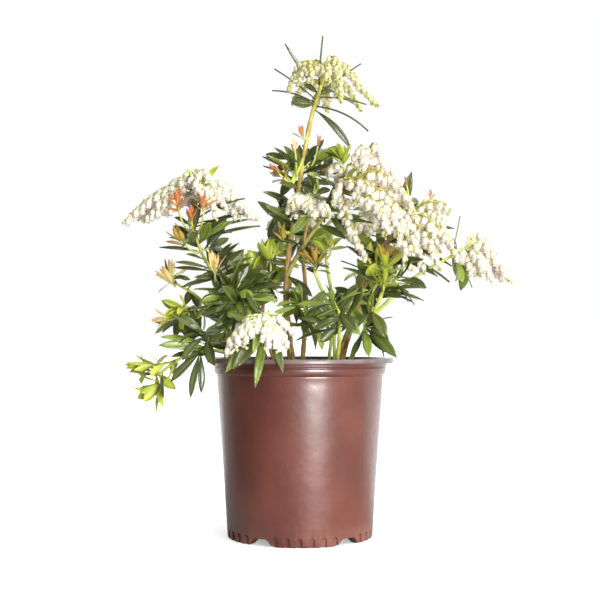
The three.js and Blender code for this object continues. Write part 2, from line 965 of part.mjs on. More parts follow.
// A leaf of four faces: a tetrahedron drawn out from root to tip, its midrib the lower edge
// and its two side corners raised.
function leafSolid(leaf) {
  const blade = new THREE.TetrahedronGeometry(1);
  const position = blade.getAttribute("position");
  const side = leaf.along.clone().cross(leaf.up);
  for (let i = 0; i < position.count; i++) {
    const x = position.getX(i);
    const y = position.getY(i);
    const isEdge = x * y < 0;
    const p = leaf.root.clone();
    if (isEdge) {
      p.addScaledVector(leaf.along, LEAF_WIDEST * leaf.length);
      p.addScaledVector(leaf.up, LEAF_FOLD);
      p.addScaledVector(side, (Math.sign(y) * leaf.width) / 2);
    } else {
      p.addScaledVector(leaf.along, x > 0 ? leaf.length : -TWIG_RADIUS / 4);
    }
    position.setXYZ(i, p.x, p.y, p.z);
  }
  return toSolid(blade);
}

// A raceme: rows of bells as beads that shrink to the buds at its end and hang below its stalk.
function racemeSolid(raceme) {
  const radiusAt = (t, i) => {
    if (i === 0) return 0.5 * TIP_RADIUS;
    const bead = i % 2 ? 1 : BEAD_WAIST;
    return RACEME_RADIUS * mix(...RACEME_TAPER, t) * bead;
  };
  return sweep(raceme.curve, radiusAt, 4, RACEME_STEPS, BELL_HANG);
}

// The mass as one solid. What it carries is tried full size and then drawn in, and is
// skipped if it still leaves the mass's space, touches a limb or crosses what has grown.
function massSolid(mass, masses, limbs) {
  const obstacles = obstaclesOf(mass, masses, limbs);
  const onOthers = obstacles.filter((limb) => limb.name !== mass.on);
  let grown = sweep(mass.stem.curve, taper(mass.stem), 4, mass.stem.steps);
  const carry = (item, kind) => {
    for (const share of DRAWN_IN) {
      const drawn = kind.drawIn(item, share);
      if (!fits(kind.points(drawn), mass, masses, obstacles)) continue;
      if (!grown.intersect(kind.outerSolid(drawn)).isEmpty()) continue;
      grown = grown.add(kind.solid(drawn));
      return;
    }
  };
  const bearing = mass.twigs.filter((twig) => {
    const along = twig.curve.getPoints(6).slice(2);
    return fits(along, mass, masses, onOthers);
  });
  for (const twig of bearing) grown = grown.add(sweep(twig.curve, taper(twig), 3, 1));
  for (const twig of bearing) {
    for (const raceme of twig.racemes) carry(raceme, RACEME);
  }
  for (const leaf of mass.stemLeaves) carry(leaf, LEAF);
  for (const twig of bearing) {
    for (const leaf of [...twig.tuft, ...twig.leaves]) carry(leaf, LEAF);
  }
  if (mass.at !== 1) grown = grown.subtract(swollen(limbs.get(mass.on)));
  return largest(grown.simplify(FINEST));
}

function taper(part) {
  return (t) => mix(part.radius[0], part.radius[1], t);
}

// Every limb, and every other mass's stem, as a line with a radius.
function obstaclesOf(mass, masses, limbs) {
  const others = masses.filter((m) => m !== mass);
  return [...limbs.values()]
    .map((limb) => ({ name: limb.name, ...withLine(limb.curve, limb.radius[0]) }))
    .concat(others.map((m) => withLine(m.stem.curve, m.stem.radius[0])));
}

const LEAF = {
  points: leafPoints,
  solid: leafSolid,
  drawIn: (leaf, share) => ({
    ...leaf,
    length: leaf.length * share,
    width: leaf.width * Math.sqrt(share),
  }),
  outerSolid: (leaf) =>
    leafSolid({
      ...leaf,
      root: leaf.root.clone().addScaledVector(leaf.along, 0.3 * leaf.length),
      length: leaf.length * 0.7,
    }),
};

const RACEME = {
  points: racemePoints,
  solid: racemeSolid,
  drawIn: (raceme, share) => {
    const { v0, v1, v2 } = raceme.curve;
    return bezier(v0, v0.clone().lerp(v1, share), v0.clone().lerp(v2, share));
  },
  outerSolid: (raceme) => {
    const { v1, v2 } = raceme.curve;
    return racemeSolid(bezier(raceme.curve.getPoint(0.5), v1.clone().lerp(v2, 0.5), v2));
  },
};

function bezier(...points) {
  return { curve: new THREE.QuadraticBezierCurve3(...points) };
}

// The largest of a solid's separate bodies: what a cut leaves loose is dropped.
function largest(solid) {
  const bodies = solid.decompose();
  return bodies.reduce((a, b) => (b.volume() > a.volume() ? b : a));
}

// --- Assembly --------------------------------------------------------------------------

function colourOf(mass) {
  const flowering = mass.shoots.filter((kind) => kind === "flowers" || kind === "spray").length;
  if (flowering > mass.shoots.length / 2) return "blossom";
  if (mass.shoots.every((kind) => kind === "bronze")) return "bronze";
  if (mass.shoots.every((kind) => kind === "lime")) return "fresh";
  return "leaf";
}

const plant = new THREE.Group();

function addMesh(name, solid, colour) {
  const [color, roughness] = COLOURS[colour];
  const material = new THREE.MeshStandardMaterial({ color, roughness, metalness: 0 });
  const mesh = new THREE.Mesh(toGeometry(solid), material);
  mesh.name = name;
  plant.add(mesh);
}

addMesh("pot", potSolid(), "pot");
addMesh("growing_medium", mediumSolid(), "medium");

const limbs = new Map(LIMBS.map((limb) => [limb.name, makeLimb(limb)]));
for (const limb of limbs.values()) {
  addMesh(limb.name, limbSolid(limb, limbs), limb.colour);
}

const masses = MASSES.map((mass, i) => growMass(mass, i + 1, limbs));
for (const mass of masses) {
  addMesh(mass.name, massSolid(mass, masses, limbs), colourOf(mass));
}

export default plant;
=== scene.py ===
import math

import bpy
import numpy as np
from mathutils import Matrix, Vector, noise


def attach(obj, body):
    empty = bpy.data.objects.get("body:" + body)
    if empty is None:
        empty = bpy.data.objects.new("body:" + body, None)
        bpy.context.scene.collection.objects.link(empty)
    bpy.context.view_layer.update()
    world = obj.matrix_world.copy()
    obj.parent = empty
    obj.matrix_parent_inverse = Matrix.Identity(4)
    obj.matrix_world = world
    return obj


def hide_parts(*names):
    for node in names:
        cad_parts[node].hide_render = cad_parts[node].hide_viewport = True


# A pieris shrub in its nursery pot. Sizes are in millimetres here and become metres where
# a mesh is made.
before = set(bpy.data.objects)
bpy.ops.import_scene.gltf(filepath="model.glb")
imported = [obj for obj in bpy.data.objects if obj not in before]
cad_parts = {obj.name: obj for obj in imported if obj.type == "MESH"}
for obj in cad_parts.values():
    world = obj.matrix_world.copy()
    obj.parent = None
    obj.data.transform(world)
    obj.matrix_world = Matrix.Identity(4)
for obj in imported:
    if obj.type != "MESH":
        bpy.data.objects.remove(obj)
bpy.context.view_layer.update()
mm = 0.001
print("frame loaded:", len(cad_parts), "solids")


def selectNone():
    for thing in bpy.context.selected_objects:
        thing.select_set(False)


def selectOnly(piece):
    selectNone()
    piece.select_set(True)
    bpy.context.view_layer.objects.active = piece


def addPrimitive(kind, stretch=(1, 1, 1), **settings):
    # one new shape with its place and stretch in its mesh, alone in the selection
    selectNone()
    getattr(bpy.ops.mesh, f"primitive_{kind}_add")(**settings)
    piece = bpy.context.object
    piece.scale = stretch
    bpy.ops.object.transform_apply(location=True, scale=True)
    return piece


def addToScene(name, data):
    piece = bpy.data.objects.new(name, data)
    bpy.context.scene.collection.objects.link(piece)
    return piece


def inEditMode(piece, work, by="vertex"):
    selectOnly(piece)
    bpy.context.tool_settings.mesh_select_mode = (by == "vertex", by == "edge", False)
    bpy.ops.object.mode_set(mode="EDIT")
    work()
    bpy.ops.object.mode_set(mode="OBJECT")


def selectVertices(mesh, test):
    # in object mode, so that edit mode starts with these alone
    for thing in [*mesh.edges, *mesh.polygons]:
        thing.select = False
    for vertex in mesh.vertices:
        vertex.select = bool(test(vertex.co))


def selectEdges(mesh, test):
    for thing in [*mesh.vertices, *mesh.polygons]:
        thing.select = False
    for edge in mesh.edges:
        a, b = (mesh.vertices[i].co for i in edge.vertices)
        edge.select = bool(test(a, b))


def resizeSelected(piece, factors, centre):
    inEditMode(piece, lambda: bpy.ops.transform.resize(value=factors, center_override=centre))


def bevelSelected(piece, width, segments, by="vertex"):
    bevel = dict(offset=width, segments=segments, affect="EDGES")
    inEditMode(piece, lambda: bpy.ops.mesh.bevel(**bevel), by)


def pullAlongProfile(profile, sides, size=1):
    # a ring pulled from radius to radius and height to height, and closed at both ends
    radius, height = profile[0]
    piece = addPrimitive("circle", vertices=sides, radius=radius * size, location=(0, 0, height * size))

    def pull():
        bpy.ops.mesh.select_all(action="SELECT")
        for (r0, z0), (r1, z1) in zip(profile, profile[1:]):
            rise = dict(value=(0, 0, (z1 - z0) * size))
            bpy.ops.mesh.extrude_region_move(TRANSFORM_OT_translate=rise)
            bpy.ops.transform.resize(value=(r1 / r0, r1 / r0, 1), center_override=(0, 0, z1 * size))
        bpy.ops.mesh.select_all(action="DESELECT")
        bpy.ops.mesh.select_non_manifold()
        bpy.ops.mesh.fill_holes(sides=0)
        bpy.ops.mesh.select_all(action="SELECT")
        bpy.ops.mesh.normals_make_consistent(inside=False)

    inEditMode(piece, pull)
    return piece


def applyModifier(piece, kind, **settings):
    selectOnly(piece)
    modifier = piece.modifiers.new(kind.title(), kind)
    for name, value in settings.items():
        setattr(modifier, name, value)
    bpy.ops.object.modifier_apply(modifier=modifier.name)


def smoothByAngle(piece, degrees):
    selectOnly(piece)
    bpy.ops.object.shade_smooth_by_angle(angle=math.radians(degrees))


def finishPiece(piece, materials, nodes=()):
    for material in materials:
        piece.data.materials.append(material)
    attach(piece, "root")
    if nodes:
        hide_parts(*nodes)


# Meshes from arrays: shapes dealt out to many places, and tubes along many lines.

def unit(vectors):
    vectors = np.asarray(vectors, float)
    return vectors / np.maximum(np.linalg.norm(vectors, axis=-1, keepdims=True), 1e-9)


def meshFromArrays(name, points, faceSets, uv, slots=None, values=None):
    # points in millimetres, faceSets of one face size each
    mesh = bpy.data.meshes.new(name)
    mesh.vertices.add(len(points))
    mesh.vertices.foreach_set("co", (points * mm).astype(np.float32).ravel())
    loops = np.concatenate([faces.ravel() for faces in faceSets]).astype(np.int32)
    sizes = np.concatenate([np.full(len(faces), faces.shape[1]) for faces in faceSets])
    starts = np.concatenate([[0], np.cumsum(sizes)[:-1]]).astype(np.int32)
    mesh.loops.add(len(loops))
    mesh.loops.foreach_set("vertex_index", loops)
    mesh.polygons.add(len(sizes))
    mesh.polygons.foreach_set("loop_start", starts)
    mesh.polygons.foreach_set("use_smooth", np.ones(len(sizes), bool))
    if slots is not None:
        mesh.polygons.foreach_set("material_index", slots.astype(np.int32))
    layer = mesh.uv_layers.new(name="UVMap")
    layer.data.foreach_set("uv", uv.astype(np.float32).ravel())
    for label, series in (values or {}).items():
        attribute = mesh.attributes.new(label, "FLOAT", "POINT")
        attribute.data.foreach_set("value", series.astype(np.float32))
    mesh.update(calc_edges=True)
    mesh.validate()
    return addToScene(name, mesh)


def cutFrom(piece):
    # a modelled shape's points, faces, UVs and material slots as arrays, and the shape goes
    mesh = piece.data
    points = np.zeros(len(mesh.vertices) * 3)
    mesh.vertices.foreach_get("co", points)
    layer = mesh.uv_layers.active
    faceSets, uvSets, slotSets = [], [], []
    for size in sorted({len(face.vertices) for face in mesh.polygons}):
        faces = [face for face in mesh.polygons if len(face.vertices) == size]
        corners = [i for face in faces for i in face.loop_indices]
        faceSets.append(np.array([list(face.vertices) for face in faces]))
        uvSets.append(np.array([layer.data[i].uv[:] if layer else (0, 0) for i in corners]))
        slotSets.append(np.array([face.material_index for face in faces]))
    bpy.data.objects.remove(piece)
    return dict(points=points.reshape(-1, 3), faceSets=faceSets, uvSets=uvSets, slotSets=slotSets)


def dealOut(name, cut, places, values=None):
    # copies of one modelled shape: places holds each copy's points
    count, size = places.shape[0], len(cut["points"])
    offsets = (np.arange(count) * size)[:, None, None]
    faceSets = [(faces[None] + offsets).reshape(-1, faces.shape[1]) for faces in cut["faceSets"]]
    uv = np.concatenate([np.tile(part, (count, 1)) for part in cut["uvSets"]])
    slots = np.concatenate([np.tile(part, count) for part in cut["slotSets"]])
    each = {label: np.repeat(series, size) for label, series in (values or {}).items()}
    return meshFromArrays(name, places.reshape(-1, 3), faceSets, uv, slots, each)


def sweepTubes(name, lines, radii, sides):
    # round tubes along lines of equally many points, closed at both ends
    lines = np.asarray(lines, float)
    radii = np.asarray(radii, float)
    count, steps = lines.shape[:2]
    tangents = unit(np.gradient(lines, axis=1))
    steep = np.abs(tangents[:, :1, 2:]) > 0.8
    helper = np.where(steep, [1.0, 0.0, 0.0], [0.0, 0.0, 1.0])
    side = unit(np.cross(np.broadcast_to(helper, tangents.shape), tangents))
    other = np.cross(tangents, side)
    turn = (np.arange(sides) / sides * 2 * np.pi)[:, None]
    ring = side[:, :, None] * np.cos(turn) + other[:, :, None] * np.sin(turn)
    points = lines[:, :, None] + ring * radii[:, :, None, None]
    first = (np.arange(count) * steps * sides)[:, None, None]
    row = first + (np.arange(steps - 1) * sides)[None, :, None]
    k = np.arange(sides)[None, None, :]
    after = (k + 1) % sides
    quads = np.stack([row + k, row + after, row + sides + after, row + sides + k], -1).reshape(-1, 4)
    foot, tip = first[:, 0], first[:, 0] + (steps - 1) * sides
    caps = np.concatenate([foot + np.arange(sides)[::-1], tip + np.arange(sides)])
    gaps = np.linalg.norm(np.diff(lines, axis=1), axis=2)
    lengths = np.concatenate([np.zeros((count, 1)), np.cumsum(gaps, 1)], 1)
    low, high = lengths[:, :-1], lengths[:, 1:]
    along = np.repeat(np.stack([low, low, high, high], -1)[:, :, None], sides, 2).reshape(-1)
    around = np.stack([k, k + 1, k + 1, k], -1) / sides
    around = np.broadcast_to(around, (count, steps - 1, sides, 4)).reshape(-1)
    uv = np.concatenate([np.stack([around, along * mm], -1), np.zeros((caps.size, 2))])
    return meshFromArrays(name, points.reshape(-1, 3), [quads, caps], uv)


# Curves and seeded draws.

def seededDraws(seed):
    state = (seed * 2654435761) % 2**32

    def draw():
        nonlocal state
        state = (state * 1664525 + 1013904223) % 2**32
        return state / 2**32

    return draw


def mix(a, b, share):
    return a + (b - a) * share


def curveThrough(points, even=True):
    # a smooth curve through points; even=False spaces its bends by the gaps between them
    points = [np.array(p, float) for p in points]
    last = len(points) - 1

    def at(t):
        i = min(int(last * t), last - 1)
        w = last * t - i
        b, c = points[i], points[i + 1]
        a = points[i - 1] if i else 2 * b - c
        d = points[i + 2] if i + 2 <= last else 2 * c - b
        if even:
            start, end = (c - a) / 2, (d - b) / 2
        else:
            ab, bc, cd = (np.linalg.norm(q - p) ** 0.5 for p, q in ((a, b), (b, c), (c, d)))
            start = ((b - a) / ab - (c - a) / (ab + bc) + (c - b) / bc) * bc
            end = ((c - b) / bc - (d - b) / (bc + cd) + (d - c) / cd) * bc
        bend = 3 * (c - b) - 2 * start - end
        return b + start * w + bend * w**2 + (2 * (b - c) + start + end) * w**3

    return at


def lineBetween(a, b):
    return lambda t: mix(a, b, t)


def archBetween(a, b, c):
    return lambda t: a * (1 - t) ** 2 + b * 2 * t * (1 - t) + c * t * t


def alongCurve(curve, count):
    return [curve(t) for t in np.linspace(0, 1, count)]


def tangentOf(curve, t):
    low, high = max(t - 1e-4, 0), min(t + 1e-4, 1)
    return unit(curve(high) - curve(low))


def heading(azimuth, elevation):
    a, e = math.radians(azimuth), math.radians(elevation)
    return np.array([math.cos(e) * math.sin(a), -math.cos(e) * math.cos(a), math.sin(e)])


# Materials: shared effects are node groups that put out masks and heights.

def colour(code):
    # a hex code such as "8a5a48" as Blender's linear colour
    parts = [int(code[i:i + 2], 16) / 255 for i in (0, 2, 4)]
    linear = [p / 12.92 if p <= 0.04045 else ((p + 0.055) / 1.055) ** 2.4 for p in parts]
    return (*linear, 1.0)


def feed(tree, sockets, values):
    # another node's output is linked, and anything else is a constant
    for name, value in values.items():
        if isinstance(value, bpy.types.NodeSocket):
            tree.links.new(value, sockets[name])
        else:
            sockets[name].default_value = value


def addNode(tree, kind, inputs=None, **settings):
    made = tree.nodes.new(kind)
    for name, value in settings.items():
        setattr(made, name, value)
    feed(tree, made.inputs, inputs or {})
    return made


def splitAxes(tree, vector):
    return addNode(tree, "ShaderNodeSeparateXYZ", {"Vector": vector}).outputs


def vectorMath(tree, operation, a, b):
    return addNode(tree, "ShaderNodeVectorMath", {0: a, 1: b}, operation=operation).outputs


def calculate(tree, operation, a, b=0.0):
    return addNode(tree, "ShaderNodeMath", {0: a, 1: b}, operation=operation).outputs[0]


def add(tree, a, b):
    return calculate(tree, "ADD", a, b)


def multiply(tree, a, b):
    return calculate(tree, "MULTIPLY", a, b)


def spread(tree, value, low, high, toLow=0.0, toHigh=1.0):
    inputs = {"Value": value, "From Min": low, "From Max": high, "To Min": toLow, "To Max": toHigh}
    return addNode(tree, "ShaderNodeMapRange", inputs, interpolation_type="SMOOTHSTEP").outputs["Result"]


def noiseAt(tree, vector, scale, detail, roughness=0.5):
    inputs = {"Vector": vector, "Scale": scale, "Detail": detail, "Roughness": roughness}
    return addNode(tree, "ShaderNodeTexNoise", inputs).outputs["Fac"]


def mixColours(tree, factor, a, b):
    return addNode(tree, "ShaderNodeMix", {0: factor, 6: a, 7: b}, data_type="RGBA").outputs[2]


def twoTone(tree, factor, look, first, second):
    return mixColours(tree, factor, colour(look[first]), colour(look[second]))


def layOver(tree, body, mask, code, share=None):
    # one more colour where the mask says, by no more than the share
    factor = mask if share is None else multiply(tree, mask, share)
    return mixColours(tree, factor, body, colour(code))


def newGroup(name, vector, numbers, outputs):
    # a group with one vector, numbers with their defaults, and the values that it puts out
    group = bpy.data.node_groups.new(name, "ShaderNodeTree")
    group.interface.new_socket(vector, in_out="INPUT", socket_type="NodeSocketVector")
    for label, value in numbers.items():
        socket = group.interface.new_socket(label, in_out="INPUT", socket_type="NodeSocketFloat")
        socket.default_value = value
    for label in outputs:
        group.interface.new_socket(label, in_out="OUTPUT", socket_type="NodeSocketFloat")
    entry = group.nodes.new("NodeGroupInput")
    leave = group.nodes.new("NodeGroupOutput")
    return group, entry.outputs, leave.inputs


def useGroup(tree, group, inputs):
    return addNode(tree, "ShaderNodeGroup", inputs, node_tree=group).outputs


def buildMottling():
    # soft blotches, so many to the metre, and a fine grain in them
    numbers = {"Scale": 60.0, "Contrast": 0.3}
    group, entry, leave = newGroup("mottling", "Vector", numbers, ["Mask", "Grain"])
    broad = noiseAt(group, entry["Vector"], entry["Scale"], 4.0)
    low = calculate(group, "SUBTRACT", 0.5, entry["Contrast"])
    high = add(group, 0.5, entry["Contrast"])
    fine = noiseAt(group, entry["Vector"], multiply(group, entry["Scale"], 14.0), 3.0)
    feed(group, leave, {"Mask": spread(group, broad, low, high), "Grain": fine})
    return group


def buildFlecks():
    # scattered round specks, a share of the cells left empty
    numbers = {"Scale": 300.0, "Share": 0.3, "Size": 0.25}
    group, entry, leave = newGroup("flecks", "Vector", numbers, ["Mask"])
    inputs = {"Vector": entry["Vector"], "Scale": entry["Scale"]}
    cells = addNode(group, "ShaderNodeTexVoronoi", inputs).outputs
    near = spread(group, cells["Distance"], 0.0, entry["Size"], 1.0, 0.0)
    drawn = addNode(group, "ShaderNodeSeparateColor", {"Color": cells["Color"]}).outputs["Red"]
    kept = calculate(group, "LESS_THAN", drawn, entry["Share"])
    feed(group, leave, {"Mask": multiply(group, near, kept)})
    return group


def buildFurrows():
    # ridges that run up a stem, with furrows between them, and broad patches
    numbers = {"Scale": 500.0, "Stretch": 0.12}
    group, entry, leave = newGroup("barkFurrows", "Vector", numbers, ["Mask", "Height", "Patches"])
    squash = addNode(group, "ShaderNodeCombineXYZ", {"X": 1.0, "Y": 1.0, "Z": entry["Stretch"]}).outputs[0]
    tall = vectorMath(group, "MULTIPLY", entry["Vector"], squash)[0]
    ridges = noiseAt(group, tall, entry["Scale"], 5.0, 0.62)
    wide = noiseAt(group, entry["Vector"], 55.0, 3.0)
    feed(group, leave, {
        "Mask": spread(group, ridges, 0.38, 0.62), "Height": ridges, "Patches": spread(group, wide, 0.4, 0.6),
    })
    return group


def buildVeins():
    # a leaf's own map: x runs up its midrib and y across it
    numbers = {"Pairs": 11.0, "Rib": 0.05}
    group, entry, leave = newGroup("leafVeins", "UV", numbers, ["Midrib", "Veins", "Height"])
    parts = splitAxes(group, entry["UV"])
    off = calculate(group, "ABSOLUTE", calculate(group, "SUBTRACT", parts["Y"], 0.5))
    width = multiply(group, entry["Rib"], spread(group, parts["X"], 0.0, 1.0, 1.3, 0.35))
    midrib = spread(group, off, 0.0, width, 1.0, 0.0)
    slanted = calculate(group, "SUBTRACT", parts["X"], multiply(group, off, 0.55))
    turns = multiply(group, multiply(group, slanted, entry["Pairs"]), 6.283)
    veins = spread(group, calculate(group, "SINE", turns), 0.72, 1.0)
    height = add(group, multiply(group, midrib, -1.0), multiply(group, veins, -0.25))
    feed(group, leave, {"Midrib": midrib, "Veins": veins, "Height": height})
    return group


mottling = buildMottling()
flecks = buildFlecks()
barkFurrows = buildFurrows()
leafVeins = buildVeins()


def blotches(tree, place, scale, contrast=0.2):
    return useGroup(tree, mottling, {"Vector": place["Object"], "Scale": scale, "Contrast": contrast})


def specks(tree, place, scale, share, size):
    inputs = {"Vector": place["Object"], "Scale": scale, "Share": share, "Size": size}
    return useGroup(tree, flecks, inputs)["Mask"]


def newMaterial(name):
    material = bpy.data.materials.new(name)
    material.use_nodes = True
    tree = material.node_tree
    place = addNode(tree, "ShaderNodeTexCoord").outputs
    return material, tree, tree.nodes["Principled BSDF"].inputs, place


def addBump(tree, shader, height, strength, distance):
    inputs = {"Height": height, "Strength": strength, "Distance": distance}
    feed(tree, shader, {"Normal": addNode(tree, "ShaderNodeBump", inputs).outputs["Normal"]})


def potPlastic(look):
    material, tree, shader, place = newMaterial("potPlastic")
    height = splitAxes(tree, place["Object"])["Z"]
    facing = splitAxes(tree, place["Normal"])["Z"]
    blotch = blotches(tree, place, look["blotchScale"])
    body = twoTone(tree, blotch["Mask"], look, "body", "bodyLight")
    body = layOver(tree, body, specks(tree, place, 130.0, 0.12, 0.1), look["scuff"], 0.35)
    # dust on the lip, and a greyer tone on its flat top and on the inside
    onLip = spread(tree, height, *look["lipFrom"])
    patchy = spread(tree, blotches(tree, place, 90.0, 0.25)["Mask"], 0.0, 1.0, 0.45, 0.9)
    dusty = multiply(tree, onLip, patchy)
    body = layOver(tree, body, dusty, look["dust"])
    flat = multiply(tree, spread(tree, facing, 0.5, 0.95), onLip)
    body = layOver(tree, body, flat, look["lipTop"], 0.75)
    fromAxis = vectorMath(tree, "MULTIPLY", place["Object"], (1, 1, 0))[0]
    outward = vectorMath(tree, "DOT_PRODUCT", place["Normal"], fromAxis)["Value"]
    body = layOver(tree, body, spread(tree, outward, -0.02, -0.05, 0.0, 0.85), look["lipTop"])
    low = spread(tree, height, 0.0, look["footTop"], 0.5, 0.0)
    body = layOver(tree, body, multiply(tree, low, blotch["Mask"]), look["foot"])
    rough = spread(tree, blotch["Grain"], 0.3, 0.7, look["roughness"] - 0.05, look["roughness"] + 0.06)
    rough = add(tree, rough, multiply(tree, dusty, 0.3))
    ripple = blotches(tree, place, 11.0, 0.45)["Mask"]
    relief = add(tree, ripple, multiply(tree, blotch["Grain"], 0.03))
    addBump(tree, shader, relief, 1.0, look["ripple"])
    feed(tree, shader, {
        "Base Color": body, "Roughness": rough,
        "Coat Weight": look["coat"], "Coat Roughness": look["coatRoughness"],
    })
    return material


def mediumEarth(look):
    material, tree, shader, place = newMaterial("growingMedium")
    clods = blotches(tree, place, 140.0)
    body = twoTone(tree, clods["Mask"], look, "dark", "light")
    body = layOver(tree, body, specks(tree, place, 420.0, 0.25, 0.3), look["fibre"])
    feed(tree, shader, {"Base Color": body, "Roughness": 0.9})
    addBump(tree, shader, clods["Grain"], 0.8, 0.001)
    return material


def plainGrain(name, look, roughness):
    # a small thing's own material: two tones in fine blotches
    material, tree, shader, place = newMaterial(name)
    blotch = blotches(tree, place, 200.0)
    body = twoTone(tree, blotch["Mask"], look, "dark", "light")
    feed(tree, shader, {"Base Color": body, "Roughness": roughness})
    addBump(tree, shader, blotch["Grain"], 0.4, 0.0003)
    return material


def barkMaterial(name, look):
    material, tree, shader, place = newMaterial(name)
    inputs = {"Vector": place["Object"], "Scale": look["scale"], "Stretch": look["stretch"]}
    bark = useGroup(tree, barkFurrows, inputs)
    # the furrows are darker: partly the bark's own tone, partly painted shade in its hollows
    body = twoTone(tree, bark["Mask"], look, "furrowAndShade", "ridge")
    body = layOver(tree, body, bark["Patches"], look["patch"], 0.6)
    height = splitAxes(tree, place["Object"])["Z"]
    young = spread(tree, height, look["youngFrom"] * mm, look["youngTo"] * mm)
    fresh = twoTone(tree, bark["Patches"], look, "young", "youngLight")
    body = mixColours(tree, young, body, fresh)
    body = layOver(tree, body, specks(tree, place, 330.0, 0.22, 0.2), look["scar"])
    feed(tree, shader, {"Base Color": body, "Roughness": look["roughness"]})
    addBump(tree, shader, bark["Height"], 0.6, look["relief"] * mm)
    return material


def leafMaterial(name, look, under=False):
    material, tree, shader, place = newMaterial(name)
    veins = useGroup(tree, leafVeins, {"UV": place["UV"], "Rib": 0.055})
    blotch = blotches(tree, place, 75.0, 0.22)
    shade = addNode(tree, "ShaderNodeAttribute", attribute_name="shade").outputs["Fac"]
    first, second = ("under", "underLight") if under else ("dark", "light")
    body = twoTone(tree, shade, look, first, second)
    body = layOver(tree, body, blotch["Mask"], look[second], 0.35)
    if "tip" in look:
        upLeaf = splitAxes(tree, place["UV"])["X"]
        reddened = spread(tree, upLeaf, look.get("tipFrom", 0.45), 1.0, 0.0, 0.85)
        body = layOver(tree, body, reddened, look["tip"])
    body = layOver(tree, body, veins["Veins"], look["vein"], 0.22)
    body = layOver(tree, body, veins["Midrib"], look["vein"], 0.8)
    rough = spread(tree, blotch["Grain"], 0.3, 0.7, look["roughness"] - 0.05, look["roughness"] + 0.08)
    if under:
        rough = add(tree, rough, 0.25)
    # the emission is painted light: the leaf glows in its own colour, standing in for light through the blade
    # and lifting its shade
    feed(tree, shader, {
        "Base Color": body, "Roughness": rough,
        "Coat Weight": 0.0 if under else look["coat"], "Coat Roughness": 0.2,
        "Emission Color": body, "Emission Strength": look["paintedGlow"],
        "Subsurface Weight": look["glow"], "Subsurface Radius": (0.004, 0.006, 0.002),
        "Subsurface Scale": 1.0,
    })
    addBump(tree, shader, veins["Height"], 0.5, 0.0006)
    return material


def bellMaterial(name, look):
    material, tree, shader, place = newMaterial(name)
    height = splitAxes(tree, place["UV"])["Y"]
    ageing = addNode(tree, "ShaderNodeAttribute", attribute_name="open").outputs["Fac"]
    body = twoTone(tree, spread(tree, height, 0.5, 1.0), look, "petal", "shoulder")
    body = layOver(tree, body, spread(tree, height, 0.0, 0.16, 1.0, 0.0), look["mouth"])
    body = layOver(tree, body, spread(tree, ageing, 0.15, 0.85, 1.0, 0.0), look["bud"])
    blotch = blotches(tree, place, 260.0)
    body = layOver(tree, body, blotch["Mask"], look["shoulder"], 0.2)
    # the emission is painted light: a warm glow that lifts the shade among the bells
    feed(tree, shader, {
        "Base Color": body, "Roughness": look["roughness"],
        "Emission Color": colour(look["paintedGlowTint"]), "Emission Strength": look["paintedGlow"],
        "Subsurface Weight": look["glow"], "Subsurface Radius": (0.006, 0.005, 0.0035),
        "Subsurface Scale": 1.0,
    })
    addBump(tree, shader, blotch["Grain"], 0.15, 0.0002)
    return material


# The pot: one ring pulled up along its profile, over the lip and down the inside.

pot = dict(
    sides=160,
    # radius and height
    profile=[
        (17, 0), (18.6, 1.2), (19, 8), (73, 8), (76.6, 1.2), (77, 0), (87.8, 0), (89, 0.5), (89.6, 1.7),
        (91, 25), (96, 99), (101.9, 180), (102.7, 188), (103, 197.2), (103.4, 198.6), (103.2, 199.4),
        (103.9, 199.8), (105.5, 201.4), (106.2, 202.6), (106.9, 208), (106.7, 208.7), (106.2, 209.1),
        (106.2, 209.7), (107.4, 210.3), (107.7, 211.6), (107.8, 214.6), (108.2, 215.6), (109, 216.2),
        (113.2, 216.4), (113.8, 215.6), (114, 214.3), (115, 213.9), (115.8, 214.4), (116, 215.2),
        (116, 218.4), (115.7, 219.4), (114.8, 220), (106.2, 220), (105.2, 219.5), (104.8, 218.4),
        (104.6, 206), (100.4, 196), (99.9, 193), (86, 25), (83.4, 13), (80, 10.4),
    ],
    feet=5,
    firstFoot=4,
    # a gap's angles at the ground and at its top, and how far its block reaches from the axis
    gap=dict(foot=18, top=9, height=8.8, round=2.4, widestAt=116, middle=94, depth=46),
    flutes=6,
    flutePitch=9.3,
    # round is a share of the width
    flute=dict(width=7.6, height=11.8, depth=3.1, footRadius=89.6, block=12, round=0.46, soft=0.9),
    edge=0.45,
    edgeAngle=42,
    look=dict(
        body="5c2e25", bodyLight="6e3a2f", scuff="b98f80", dust="75706f", lipTop="434147", foot="a8786a",
        roughness=0.36, coat=0.8, coatRoughness=0.24, blotchScale=16.0, ripple=0.0016,
        lipFrom=(0.2135, 0.2165), footTop=0.03,
    ),
)


def uprightBlock(width, depth, height, middle):
    # it stands in front of the axis, from a millimetre under the ground
    place = (0, -middle * mm, (height - 1) / 2 * mm)
    return addPrimitive("cube", (width * mm, depth * mm, (height + 1) * mm), size=1, location=place)


def roundTop(block, height, radius, segments):
    # the two upper edges that run outwards
    middle = 0.5 * height * mm
    selectEdges(block.data, lambda a, b: min(a.z, b.z) > middle and abs(a.x - b.x) < 1e-5)
    bevelSelected(block, radius * mm, segments, "edge")


def footGap():
    # a wedge through the foot ring, wider at the ground, its upper corners rounded
    gap = pot["gap"]
    atFoot, atTop = (math.tan(math.radians(gap[end] / 2)) for end in ("foot", "top"))
    cutter = uprightBlock(2 * gap["widestAt"] * atFoot, gap["depth"], gap["height"], gap["middle"])
    selectVertices(cutter.data, lambda co: co.z > 0.5 * gap["height"] * mm)
    resizeSelected(cutter, (atTop / atFoot, 1, 1), (0, -gap["middle"] * mm, gap["height"] * mm))
    roundTop(cutter, gap["height"], gap["round"], 4)
    return cutter


